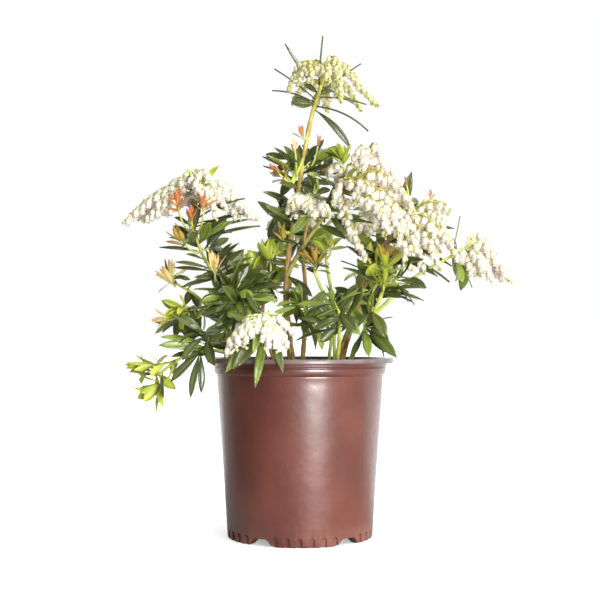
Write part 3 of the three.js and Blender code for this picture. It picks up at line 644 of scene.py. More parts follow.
def footFlute():
    # an upright groove with a round top
    flute = pot["flute"]
    front = flute["footRadius"] - flute["depth"]
    cutter = uprightBlock(flute["width"], flute["block"], flute["height"], front + flute["block"] / 2)
    roundTop(cutter, flute["height"], flute["width"] * flute["round"], 5)
    inside = -(front + 1) * mm
    selectEdges(cutter.data, lambda a, b: min(a.y, b.y) > inside and max(a.z, b.z) > 0)
    bevelSelected(cutter, flute["soft"] * mm, 2, "edge")
    return cutter


def copyTurned(piece, degrees):
    twin = piece.copy()
    twin.data = piece.data.copy()
    twin.data.transform(Matrix.Rotation(math.radians(degrees), 4, "Z"))
    bpy.context.scene.collection.objects.link(twin)
    return twin


def cutAway(piece, shape, turns):
    cutters = [copyTurned(shape, turn) for turn in turns]
    bpy.data.objects.remove(shape)
    selectNone()
    for cutter in cutters:
        cutter.select_set(True)
    bpy.context.view_layer.objects.active = cutters[0]
    bpy.ops.object.join()
    applyModifier(piece, "BOOLEAN", object=cutters[0], operation="DIFFERENCE", solver="EXACT")
    bpy.data.objects.remove(cutters[0])


def makePot():
    piece = pullAlongProfile(pot["profile"], pot["sides"], mm)
    piece.name = "nurseryPot"
    middles = [pot["firstFoot"] + foot * 360 / pot["feet"] for foot in range(pot["feet"])]
    offsets = [(k - (pot["flutes"] - 1) / 2) * pot["flutePitch"] for k in range(pot["flutes"])]
    cutAway(piece, footGap(), [middle + 180 / pot["feet"] for middle in middles])
    cutAway(piece, footFlute(), [middle + offset for middle in middles for offset in offsets])
    sharp = dict(limit_method="ANGLE", angle_limit=math.radians(pot["edgeAngle"]))
    applyModifier(piece, "BEVEL", width=pot["edge"] * mm, segments=2, **sharp)
    smoothByAngle(piece, 38)
    finishPiece(piece, [potPlastic(pot["look"])], ["pot"])
    print("pot made:", len(piece.data.polygons), "faces")


makePot()


# The growing medium, its clods, bark chips and white grains.

medium = dict(
    sides=96,
    # radius and height
    rings=[
        (99.4, 180), (99.8, 196), (97, 197.6), (93, 198.4), (88, 199.2), (82, 199.8), (74, 200.2), (66, 200),
        (58, 200.3), (50, 200), (42, 200.4), (34, 200.1), (26, 200.4), (18, 200.2), (10, 200.4), (4, 200.3),
    ],
    clods=dict(above=198, relief=1.5, scale=90),
    earth=dict(dark="2a1d16", light="4b3526", fibre="6f553b"),
    strewn=dict(reach=97, height=200.2, fall=3.2, tilt=0.7),
    chips=dict(count=620, size=(3, 9), squeeze=(1, 0.55, 0.2), look=dict(dark="3a261a", light="76543a")),
    grains=dict(count=170, size=(1, 2.1), squeeze=(1, 0.9, 0.8), look=dict(dark="cfcabd", light="e6e2d6")),
)


def modelChip():
    chip = addPrimitive("cube", size=1)
    selectVertices(chip.data, lambda co: co.x > 0)
    resizeSelected(chip, (1, 0.55, 0.6), (0.5, 0.1, -0.1))
    bevelSelected(chip, 0.12, 1)
    return cutFrom(chip)


def modelGrain():
    grain = addPrimitive("ico_sphere", subdivisions=1, radius=1)
    selectVertices(grain.data, lambda co: co.z > 0.3)
    resizeSelected(grain, (0.7, 0.9, 0.8), (0.2, 0, 0))
    return cutFrom(grain)


def scatter(name, cut, kind, draw, material):
    # copies of one small shape strewn flat over the medium
    strewn = medium["strewn"]
    places = []
    for _ in range(kind["count"]):
        share, turn = math.sqrt(draw()), 2 * math.pi * draw()
        reach, tilt = strewn["reach"] * share, (draw() - 0.5) * strewn["tilt"]
        size = mix(*kind["size"], draw() ** 2)
        spin = Matrix.Rotation(2 * math.pi * draw(), 3, "Z") @ Matrix.Rotation(tilt, 3, "X")
        points = (cut["points"] * np.array(kind["squeeze"]) * size) @ np.array(spin).T
        height = strewn["height"] - strewn["fall"] * (reach / strewn["reach"]) ** 6
        places.append(points + [reach * math.cos(turn), reach * math.sin(turn), height])
    piece = dealOut(name, cut, np.array(places))
    piece.data.polygons.foreach_set("use_smooth", np.zeros(len(piece.data.polygons), bool))
    finishPiece(piece, [material])


def makeMedium():
    piece = pullAlongProfile(medium["rings"], medium["sides"], mm)
    piece.name = "growingMedium"
    clods = medium["clods"]
    for vertex in piece.data.vertices:
        if vertex.co.z > clods["above"] * mm:
            swell = noise.fractal(vertex.co * clods["scale"], 0.8, 2.0, 4)
            vertex.co.z += swell * clods["relief"] * mm
    smoothByAngle(piece, 60)
    finishPiece(piece, [mediumEarth(medium["earth"])], ["growing_medium"])
    draw = seededDraws(41)
    chips, grains = medium["chips"], medium["grains"]
    scatter("barkChips", modelChip(), chips, draw, plainGrain("barkChip", chips["look"], 0.85))
    scatter("whiteGrains", modelGrain(), grains, draw, plainGrain("whiteGrain", grains["look"], 0.8))
    print("growing medium made")


makeMedium()


# The plant: its limbs, and the masses that grow on them.

limbs = {
    "leader": dict(
        through=[(-9, 0, 0), (-17, 0, 287), (-14, 2, 350), (3, 3, 458), (13, 1, 516), (25, -2, 556)],
        radius=(4.3, 2.3), bark="brown"),
    # its darker olive bark is partly painted shade
    "right_bough": dict(through=[(-17, 0, 322), (4, -8, 359), (37, -22, 404)],
        radius=(3.1, 2.2), fork="leader", bark="oliveAndShade"),
    "left_stem": dict(through=[(-42, -8, 0), (-62, -13, 264), (-98, -20, 313)],
        radius=(3.3, 2.3), bark="green"),
    "right_stem": dict(through=[(54, -6, 0), (76, -11, 246), (95, -16, 284), (103, -18, 306)],
        radius=(3.2, 2.2), bark="green"),
    "right_back_stem": dict(through=[(48, 14, 0), (73, 24, 287), (88, 30, 340)],
        radius=(3.4, 2.4), bark="brown"),
    "far_right_bough": dict(through=[(90, -15, 272), (140, -2, 318), (184, -8, 344)],
        radius=(2.4, 1.8), fork="right_stem", bark="green"),
    "centre_left_shoot": dict(through=[(34, -8, 0), (39, -12, 268), (22, -14, 316)],
        radius=(2.3, 1.8), bark="green"),
    "centre_right_shoot": dict(through=[(43, 6, 0), (42, 8, 280), (34, 10, 334)],
        radius=(2.3, 1.8), bark="green"),
    "left_mid_stem": dict(through=[(-28, 12, 0), (-46, 20, 264), (-46, 24, 300)],
        radius=(2.8, 2), bark="brown"),
    "left_outer_stem": dict(through=[(-58, 6, 0), (-90, 2, 256), (-128, -4, 296), (-152, -6, 311)],
        radius=(2.3, 1.6), bark="green"),
    "left_low_stem": dict(through=[(-52, -24, 0), (-92, -40, 227), (-122, -44, 229)],
        radius=(2.8, 2), bark="green"),
    "front_stem": dict(through=[(-20, -30, 0), (-34, -58, 250), (-40, -76, 266)],
        radius=(2.8, 2), bark="green"),
    "front_right_stem": dict(through=[(42, -34, 0), (47, -50, 238), (47, -58, 258)],
        radius=(2.8, 2), bark="green"),
    "back_left_stem": dict(through=[(-36, 36, 0), (-62, 70, 262), (-76, 90, 300)],
        radius=(3.2, 2.1), bark="brown"),
    "back_mid_stem": dict(through=[(2, 34, 0), (8, 64, 290), (2, 78, 366)],
        radius=(3.4, 2.1), bark="brown"),
    "back_right_stem": dict(through=[(40, 38, 0), (66, 72, 262), (96, 92, 340), (106, 96, 364)],
        radius=(3.4, 2.1), bark="brown"),
}

masses = [
    dict(name="top_spray", on="leader", through=[(34, -3, 580)], heart=(36, -2, 552), reach=(86, 74, 88),
        face=60, fan=340, twig=8, stemLeaves=0, shoots=["spray"], leaf=62, slender=0.18, droop=0.7,
        raceme=78),
    dict(name="crown_left", on="leader", at=0.64, through=[(-10, -5, 436), (-4, -5, 462)],
        heart=(-24, -6, 454), reach=(49, 55, 55), face=-85, fan=200, tilt=(15, 70), twig=9, stemLeaves=8,
        shoots=["leafy", "bronze", "leafy"], leaf=48),
    dict(name="crown_right", on="leader", at=0.66, through=[(13, 2, 442), (19, 2, 466)], heart=(32, 0, 458),
        reach=(49, 55, 51), face=95, fan=200, tilt=(15, 70), twig=9, stemLeaves=8,
        shoots=["leafy", "bronze", "leafy"], leaf=48),
    dict(name="inner_left", on="leader", at=0.45, through=[(-24, -8, 380), (-26, -10, 408)],
        heart=(-38, -12, 392), reach=(57, 61, 49), face=-85, fan=220, tilt=(0, 50), twig=12, stemLeaves=5,
        shoots=["leafy", "flowers", "leafy", "leafy"], raceme=40),
    dict(name="inner_right", on="right_bough", at=0.5, through=[(10, -26, 392), (14, -32, 412)],
        heart=(12, -36, 400), reach=(49, 53, 49), fan=280, twig=12, stemLeaves=3,
        shoots=["leafy", "flowers", "flowers", "leafy"], raceme=46),
    dict(name="right_blossom_head", on="right_bough", through=[(52, -26, 434), (60, -28, 458)],
        heart=(90, -34, 416), reach=(68, 66, 80), face=75, fan=250, tilt=(-60, 45), twig=34, droop=0.72,
        shoots=["leafy", "flowers", "flowers", "flowers", "flowers", "lime"], raceme=76),
    dict(name="right_outer_blossom", on="right_back_stem", through=[(118, 28, 374), (144, 14, 404)],
        heart=(158, 8, 380), reach=(58, 68, 68), face=80, fan=280, tilt=(-20, 45), twig=20, droop=0.72,
        shoots=["leafy", "flowers", "flowers", "flowers", "flowers"], raceme=62),
    dict(name="far_right_spray", on="far_right_bough", through=[(208, -10, 356)], heart=(224, -10, 336),
        reach=(53, 57, 61), face=80, fan=240, tilt=(-30, 30), twig=16, droop=0.65,
        shoots=["leafy", "flowers", "flowers"], raceme=62),
    dict(name="right_leafy_mass", on="right_stem", through=[(106, -20, 330)], heart=(108, -24, 328),
        reach=(61, 59, 49), twig=14, shoots=["leafy", "leafy", "lime", "bronze"]),
    dict(name="right_low_mass", on="right_stem", at=0.62, through=[(84, -28, 262), (88, -34, 274)],
        heart=(94, -30, 264), reach=(53, 53, 49), face=50, fan=260, tilt=(-10, 50), twig=13,
        shoots=["leafy", "leafy", "leafy"]),
    dict(name="front_right_mass", on="front_right_stem", through=[(46, -66, 278)], heart=(46, -68, 282),
        reach=(55, 55, 51), twig=13, shoots=["leafy", "leafy", "leafy"]),
    dict(name="left_column", on="left_stem", through=[(-121, -24, 350), (-132, -26, 392), (-132, -28, 430)],
        heart=(-138, -28, 392), reach=(98, 78, 90), tilt=(-5, 50), twig=20, stemLeaves=12, droop=0.55,
        shoots=["leafy", "leafy", "bronze", "leafy", "bronze", "flowers", "flowers", "bronze", "flowers"],
        raceme=90),
    dict(name="left_mid_mass", on="left_stem", at=0.55, through=[(-76, -34, 282), (-82, -48, 300)],
        heart=(-84, -52, 292), reach=(64, 59, 53), face=-30, fan=280, tilt=(-10, 60), twig=15,
        shoots=["leafy", "leafy", "leafy", "leafy"]),
    dict(name="left_mid_fresh", on="left_mid_stem", through=[(-38, 24, 340)], heart=(-36, 22, 340),
        reach=(49, 51, 51), tilt=(0, 65), twig=13, stemLeaves=3, shoots=["leafy", "leafy", "lime", "lime"]),
    dict(name="left_outer_tuft", on="left_outer_stem", through=[(-160, -7, 316)], heart=(-174, -8, 320),
        reach=(42, 42, 38), face=-90, fan=200, tilt=(20, 40), twig=8, shoots=["bronze"], leaf=33),
    dict(name="left_lower_mass", on="left_outer_stem", at=0.62, through=[(-126, -10, 270), (-142, -12, 276)],
        heart=(-144, -10, 270), reach=(59, 53, 38), face=-80, fan=240, tilt=(-15, 40), twig=15,
        shoots=["leafy", "leafy", "bronze"]),
    dict(name="left_rim_mass", on="left_low_stem", at=0.8, through=[(-112, -50, 244)],
        heart=(-124, -60, 244), reach=(55, 53, 36), face=-50, fan=240, tilt=(0, 50), twig=12,
        shoots=["leafy", "leafy"]),
    dict(name="left_hanging_spray", on="left_low_stem", through=[(-150, -46, 216), (-172, -46, 200)],
        heart=(-180, -46, 192), reach=(53, 53, 53), face=-90, fan=200, tilt=(-40, 20), twig=16, stemLeaves=4,
        shoots=["leafy", "lime", "lime"], leaf=38),
    dict(name="front_blossom_mass", on="front_stem", through=[(-46, -96, 270)], heart=(-50, -108, 248),
        reach=(61, 57, 64), tilt=(-20, 20), fan=240, twig=14, droop=0.65,
        shoots=["leafy", "flowers", "flowers", "flowers"], raceme=46),
    dict(name="centre_low_mass", on="leader", at=0.14, through=[(2, -18, 262), (8, -26, 278)],
        heart=(6, -36, 270), reach=(49, 47, 49), face=20, fan=280, tilt=(-10, 60), twig=12,
        shoots=["leafy", "leafy", "leafy"]),
    dict(name="centre_left_tuft", on="centre_left_shoot", through=[(18, -15, 326)], heart=(16, -16, 338),
        reach=(36, 38, 36), tilt=(60, 80), twig=8, shoots=["bronze"], leaf=34),
    dict(name="centre_right_tuft", on="centre_right_shoot", through=[(33, 10, 346)], heart=(34, 10, 358),
        reach=(36, 38, 36), tilt=(60, 80), twig=8, shoots=["lime"], leaf=34),
    dict(name="back_left_mass", on="back_left_stem", through=[(-86, 98, 336)], heart=(-88, 98, 330),
        reach=(68, 68, 66), twig=18, shoots=["leafy", "leafy", "lime", "flowers"]),
    dict(name="back_left_low_mass", on="back_left_stem", at=0.5, through=[(-84, 70, 262)],
        heart=(-94, 68, 258), reach=(64, 64, 42), face=-130, fan=260, tilt=(-10, 40), twig=18,
        shoots=["leafy", "leafy", "leafy"]),
    dict(name="back_centre_mass", on="back_mid_stem", through=[(0, 84, 404)], heart=(0, 84, 402),
        reach=(57, 64, 59), twig=16, shoots=["leafy", "leafy", "flowers", "bronze"], raceme=54),
    dict(name="back_right_mass", on="back_right_stem", through=[(114, 102, 398)], heart=(112, 102, 400),
        reach=(70, 68, 66), tilt=(-10, 60), twig=18, shoots=["leafy", "leafy", "flowers", "flowers"]),
    dict(name="back_low_mass", on="back_right_stem", at=0.5, through=[(78, 92, 286)], heart=(78, 94, 288),
        reach=(70, 64, 55), face=150, fan=280, tilt=(-10, 50), twig=18, shoots=["leafy", "leafy", "leafy"]),
]


# Limbs: each a swept curve with the bark's relief pressed into its mesh.

limbShape = dict(
    sides=14, step=2.2, fewest=8, sunk=5, sunkSpread=1.15, flare=0.7, flareFall=26, mediumTop=200.3,
    ridge=0.9, ridgeUp=0.13, swell=0.07, swellShare=1.3, weld=0.00002,
)

# each look's furrow colour is partly the bark's own tone and partly painted shade in the hollows
barkLooks = {
    "brown": dict(
        ridge="bd985a", furrowAndShade="735a36", patch="cda06a", scar="dcc096", young="bfa956", youngLight="cfc86c",
        youngFrom=340, youngTo=470, scale=420.0, stretch=0.14, relief=0.5, roughness=0.65, depth=0.34,
    ),
    # a darker olive bark for the right bough: partly its own tone, partly painted shade standing in for the
    # shade of the leaves round it
    "oliveAndShade": dict(
        ridge="a39c56", furrowAndShade="5e5a26", patch="b0a862", scar="ccc488", young="a8a452", youngLight="bcb860",
        youngFrom=340, youngTo=440, scale=420.0, stretch=0.14, relief=0.4, roughness=0.6, depth=0.3,
    ),
    "green": dict(
        ridge="b6c24e", furrowAndShade="94a23a", patch="c8d062", scar="e8e2b4", young="c2cc54", youngLight="d6dc70",
        youngFrom=230, youngTo=330, scale=260.0, stretch=0.1, relief=0.25, roughness=0.5, depth=0.12,
    ),
}


def limbCurve(limb):
    points = [list(p) for p in limb["through"]]
    if "fork" not in limb:
        points[0][2] = limbShape["mediumTop"]
    return curveThrough(points)


def limbRadius(limb, t):
    foot, tip = limb["radius"]
    flare = 0 if "fork" in limb else limbShape["flare"] * foot * math.exp(-t * limbShape["flareFall"])
    return mix(foot, tip, t) + flare


def sweepLimb(name, line, radii):
    selectNone()
    bpy.ops.curve.primitive_bezier_curve_add()
    piece = bpy.context.object
    piece.name = name
    shape = piece.data
    shape.splines.clear()
    spline = shape.splines.new("POLY")
    spline.points.add(len(line) - 1)
    for spot, p, r in zip(spline.points, line, radii):
        spot.co = (*(p * mm), 1)
        spot.radius = r
    shape.bevel_depth = mm
    shape.bevel_resolution = (limbShape["sides"] - 4) // 2
    shape.use_fill_caps = True
    selectOnly(piece)
    bpy.ops.object.convert(target="MESH")
    piece = bpy.context.object

    def close():
        bpy.ops.mesh.select_all(action="SELECT")
        bpy.ops.mesh.remove_doubles(threshold=limbShape["weld"])
        bpy.ops.mesh.normals_make_consistent(inside=False)

    inEditMode(piece, close)
    return piece


def makeLimb(name, limb):
    curve = limbCurve(limb)
    length = np.linalg.norm(np.diff(alongCurve(curve, 60), axis=0), axis=1).sum()
    shares = np.linspace(0, 1, max(limbShape["fewest"], int(length / limbShape["step"])))
    line = [curve(t) for t in shares]
    radii = [limbRadius(limb, t) for t in shares]
    if "fork" not in limb:
        line.insert(0, line[0] - np.array([0, 0, limbShape["sunk"]]))
        radii.insert(0, radii[0] * limbShape["sunkSpread"])
    piece = sweepLimb(name, line, radii)
    mesh = piece.data
    depth = barkLooks[limb["bark"]]["depth"]
    across, up = limbShape["ridge"], limbShape["ridgeUp"]
    normals = [vertex.normal.copy() for vertex in mesh.vertices]
    for vertex, normal in zip(mesh.vertices, normals):
        at = vertex.co / mm
        ridge = noise.fractal(Vector((at.x * across, at.y * across, at.z * up)), 0.9, 2.1, 3)
        swell = noise.noise(at * limbShape["swell"])
        vertex.co += normal * (ridge * depth + swell * depth * limbShape["swellShare"]) * mm
    mesh.polygons.foreach_set("use_smooth", np.ones(len(mesh.polygons), bool))
    finishPiece(piece, [barkMaterials[limb["bark"]]], [name])


barkMaterials = {kind: barkMaterial("bark" + kind.title(), look) for kind, look in barkLooks.items()}
for limbName, limb in limbs.items():
    makeLimb(limbName, limb)
print("limbs made:", len(limbs))


# Growth: the same rule and the same draws as the solids, carried on to finer twigs.

shoots = {
    "leafy": dict(leaves=8),
    "bronze": dict(leaves=5, tuft=4),
    "lime": dict(leaves=6, tuft=3),
    "flowers": dict(leaves=3, racemes=4, lowest=0.7),
    "spray": dict(leaves=10, racemes=6, onStem=True, span=(0.7, 0.16), pitch=(18, 112)),
}
shootDefaults = dict(
    leaves=0, racemes=0, tuft=0, lowest=0.25, onStem=False, span=(0.97, 0.1), pitch=(36, 84),
)
massDefaults = dict(
    at=1, face=0, fan=360, leaf=52, slender=0.31, raceme=66, droop=0.6, stemLeaves=0, tilt=(0, 60), twig=22,
)
goldenTurn = math.pi * (3 - math.sqrt(5))
potReach = dict(radius=117, height=221)
# a mass that grows on from its limb's tip keeps this gap to it, and runs straight this far
onward = dict(gap=0.3, straight=6)
tuftLeaf = dict(length=25, span=(1, 0.9), pitch=(14, 40))

# what grows beyond the solids' own twigs, within the same reach
finer = dict(
    sideLength=0.62, shortest=9, sideTurn=48, sideLeaves=5, sideLeaf=0.78, sideTuft=(3, 18), sideRacemes=3,
    fillLeaves=3, fillLeaf=0.8, stemLeaves=3, stemLeaf=0.8, tuft=(4, 19), racemes=5, raceme=0.9,
    sprayRacemes=5, sprayRaceme=0.8,
)


def leafOn(root, axis, turn, pitch, length, width):
    helper = np.array([1.0, 0, 0]) if abs(axis[2]) > 0.95 else np.array([0, 0, 1.0])
    u = unit(np.cross(helper, axis))
    v = np.cross(axis, u)
    out = u * math.cos(turn) + v * math.sin(turn)
    along = axis * math.cos(pitch) + out * math.sin(pitch)
    along[2] -= 0.12 * math.sin(pitch)
    along = unit(along)
    up = unit(axis - along * np.dot(along, axis))
    return dict(root=root, along=along, up=up, length=length, width=width)


def whorl(curve, count, length, slender, span, pitch, draw):
    leaves = []
    start = draw() * math.pi * 2
    for k in range(count):
        low = k / (count - 1) if count > 1 else 0
        t = mix(*span, low)
        lean = math.radians(mix(*pitch, low) + 12 * (draw() - 0.5))
        size = length * (1 + 0.28 * (draw() - 0.5))
        turn = start + k * goldenTurn
        leaves.append(leafOn(curve(t), tangentOf(curve, t), turn, lean, size, size * slender))
    return leaves


def hangRacemes(curve, count, length, mass, draw):
    made = []
    start = draw()
    for k in range(count):
        root = curve(1 - 0.1 * k)
        turn = (start + (k + 0.3 * draw()) / count) % 1
        size = length * (1 + 0.4 * (draw() - 0.5))
        lift = mix(0.1, 0.35, draw())
        out = heading(mass["face"] + mass["fan"] * (turn - 0.5), 0)
        bend = root + out * size * 0.42 + np.array([0, 0, size * lift])
        fall = np.array([0, 0, size * (mass["droop"] - lift)])
        end = root + out * size * (1 - 0.45 * mass["droop"]) - fall
        made.append((root, bend, end))
    return made


def growTwig(mass, kindName, stem, order, rise, draw):
    kind = {**shootDefaults, **shoots[kindName]}
    slender = mass["slender"]
    turn = (order * 0.618 + 0.06 + 0.12 * (draw() - 0.5)) % 1
    azimuth = mass["face"] + mass["fan"] * (turn - 0.5)
    elevation = mix(*mass["tilt"], rise) + 16 * (draw() - 0.5)
    length = mass["twig"] * (1 + 0.3 * (draw() - 0.5))
    root = stem(mix(kind["lowest"], 0.97, rise))
    tip = root + heading(azimuth, elevation) * length
    curve = lineBetween(root, tip)
    host = stem if kind["onStem"] else curve
    leaves = whorl(host, kind["leaves"], mass["leaf"], slender, kind["span"], kind["pitch"], draw)
    tuft = whorl(curve, kind["tuft"], tuftLeaf["length"], slender, tuftLeaf["span"], tuftLeaf["pitch"], draw)
    racemes = hangRacemes(curve, kind["racemes"], mass["raceme"], mass, draw)
    return dict(kind=kindName, curve=curve, ends=(root, tip), leaves=leaves, tuft=tuft, racemes=racemes,
                azimuth=azimuth, elevation=elevation, length=length)


def growMass(settings, seed):
    mass = {**massDefaults, **settings}
    draw = seededDraws(seed)
    limb = limbs[mass["on"]]
    curve = limbCurve(limb)
    points = [curve(mass["at"])] + [np.array(p, float) for p in mass["through"]]
    if mass["at"] == 1:
        ahead = tangentOf(curve, 1)
        points[0] = points[0] + ahead * onward["gap"]
        points.insert(1, points[0] + ahead * onward["straight"])
    stem = curveThrough(points, even=False)
    last = len(mass["shoots"]) - 1
    twigs = [
        growTwig(mass, name, stem, i, i / last if last else 1, draw) for i, name in enumerate(mass["shoots"])
    ]
    leaves = whorl(stem, mass["stemLeaves"], mass["leaf"], mass["slender"], (0.9, 0.15), (60, 84), draw)
    thickest, thinnest = min(limb["radius"][1], 2.4), 1.9
    mass.update(stem=stem, twigs=twigs, ownLeaves=leaves, stemRadius=(thickest, thinnest))
    return mass


def sideTwig(mass, twig, draw):
    # one side twig, lower on its twig and turned away from it
    flowering = twig["kind"] == "flowers"
    azimuth = twig["azimuth"] - finer["sideTurn"] * mix(0.8, 1.2, draw())
    elevation = twig["elevation"] * 0.7 + mix(-8, 26, draw())
    root = twig["curve"](mix(0.35, 0.8, draw()))
    length = max(finer["shortest"], twig["length"] * finer["sideLength"])
    tip = root + heading(azimuth, elevation) * length
    curve = lineBetween(root, tip)
    made = dict(kind=twig["kind"], ends=(root, tip), tuft=[], racemes=[])
    count, size = 0 if flowering else finer["sideLeaves"], mass["leaf"] * finer["sideLeaf"]
    made["leaves"] = whorl(curve, count, size, mass["slender"], (0.97, 0.3), (28, 72), draw)
    if flowering:
        size = mass["raceme"] * finer["raceme"]
        made["racemes"] = hangRacemes(curve, finer["sideRacemes"], size, mass, draw)
    if twig["kind"] in ("bronze", "lime"):
        made["tuft"] = whorl(curve, *finer["sideTuft"], 0.3, (1, 0.94), (8, 34), draw)
    return made


def carryOn(mass, seed):
    # the finer growth: side twigs, more leaves to each whorl, more racemes to each head
    draw = seededDraws(seed + 500)
    slender, extra = mass["slender"], []
    for twig in mass["twigs"]:
        if twig["kind"] == "spray":
            size = mass["raceme"] * finer["sprayRaceme"]
            twig["racemes"] += hangRacemes(mass["stem"], finer["sprayRacemes"], size, mass, draw)
            continue
        if twig["kind"] == "flowers":
            size = mass["raceme"] * finer["raceme"]
            twig["racemes"] += hangRacemes(twig["curve"], finer["racemes"], size, mass, draw)
        else:
            count, size = finer["fillLeaves"], mass["leaf"] * finer["fillLeaf"]
            twig["leaves"] += whorl(twig["curve"], count, size, slender, (0.9, 0.2), (30, 78), draw)
        if twig["kind"] in ("bronze", "lime"):
            twig["tuft"] += whorl(twig["curve"], *finer["tuft"], 0.3, (1, 0.94), (8, 34), draw)
        extra.append(sideTwig(mass, twig, draw))
    mass["twigs"] += extra
    if "spray" not in mass["shoots"]:
        count, size = finer["stemLeaves"], mass["leaf"] * finer["stemLeaf"]
        mass["ownLeaves"] += whorl(mass["stem"], count, size, slender, (0.95, 0.35), (50, 80), draw)
    return mass


grown = [carryOn(growMass(settings, k + 1), k + 1) for k, settings in enumerate(masses)]
hearts = np.array([mass["heart"] for mass in grown], float)
reaches = np.array([mass["reach"] for mass in grown], float)


def limbSegments():
    # every limb as short straight stretches: starts, ends, radii and the limb's name
    starts, ends, radii, names = [], [], [], []
    for name, limb in limbs.items():
        line = np.array(alongCurve(limbCurve(limb), 15))
        starts.append(line[:-1])
        ends.append(line[1:])
        radii += [limb["radius"][0]] * (len(line) - 1)
        names += [name] * (len(line) - 1)
    return np.concatenate(starts), np.concatenate(ends), np.array(radii), np.array(names)


segStarts, segEnds, segRadii, segNames = limbSegments()


def isFree(points, order, gap, spare=0.0, skip=None):
    # inside the mass's own space, clear of the pot and of the limbs
    points = np.asarray(points)
    depth = np.linalg.norm((points[:, None] - hearts) / reaches, axis=2)
    own = depth[:, order]
    if np.any(own > 1 + spare):
        return False
    others = np.delete(depth, order, axis=1).min(axis=1)
    if np.any(others < own + 0.03 - spare * 4):
        return False
    low = points[:, 2] < potReach["height"]
    if np.any(low & (np.hypot(points[:, 0], points[:, 1]) < potReach["radius"])):
        return False
    step = segEnds - segStarts
    share = ((points[:, None] - segStarts) * step).sum(2) / (step * step).sum(1)
    nearest = segStarts + step * np.clip(share, 0, 1)[:, :, None]
    away = np.linalg.norm(points[:, None] - nearest, axis=2) - segRadii
    if skip is not None:
        away = away[:, segNames != skip]
    return bool(np.all(away > gap))


def leafPoints(leaf, share):
    side = np.cross(leaf["along"], leaf["up"])
    points = []
    for t in (0.3, 0.55, 0.8, 1.0):
        half = leaf["width"] / 2 * (1 - abs(t - 0.55) / 0.55)
        for s in (-1, 0, 1):
            points.append(leaf["root"] + leaf["along"] * leaf["length"] * share * t + side * s * half)
    return points


def racemeCurve(raceme, share):
    # the raceme cut down to a share of its length
    root, bend, end = raceme
    return archBetween(root, mix(root, bend, share), mix(root, end, share))


def racemePoints(curve):
    # where its bells reach, below it and to every side
    around = [np.array(off) for off in ((0, 0, -6), (5, 0, -3), (-5, 0, -3), (0, 5, -3), (0, -5, -3))]
    return [curve(t) + off for t in (0.35, 0.6, 0.85, 1) for off in around]


# Racemes, leaves and shoots set one by one: each starts on the stem that carries it. Their
# places are given in the camera's view, 600 columns wide: a column, a row, and a depth in
# millimetres that is 0 at the leader's foot and less than 0 in front of it.

eye = dict(distance=1428, height=246.3)
view = dict(middleColumn=299, eyeRow=336.5, columnWidth=1.247)


def fromView(column, row, depth):
    # the place in millimetres, as near as one
    width = view["columnWidth"] * (1 + depth / eye["distance"])
    height = eye["height"] + (view["eyeRow"] - row) * width
    return round((column - view["middleColumn"]) * width), depth, round(height)


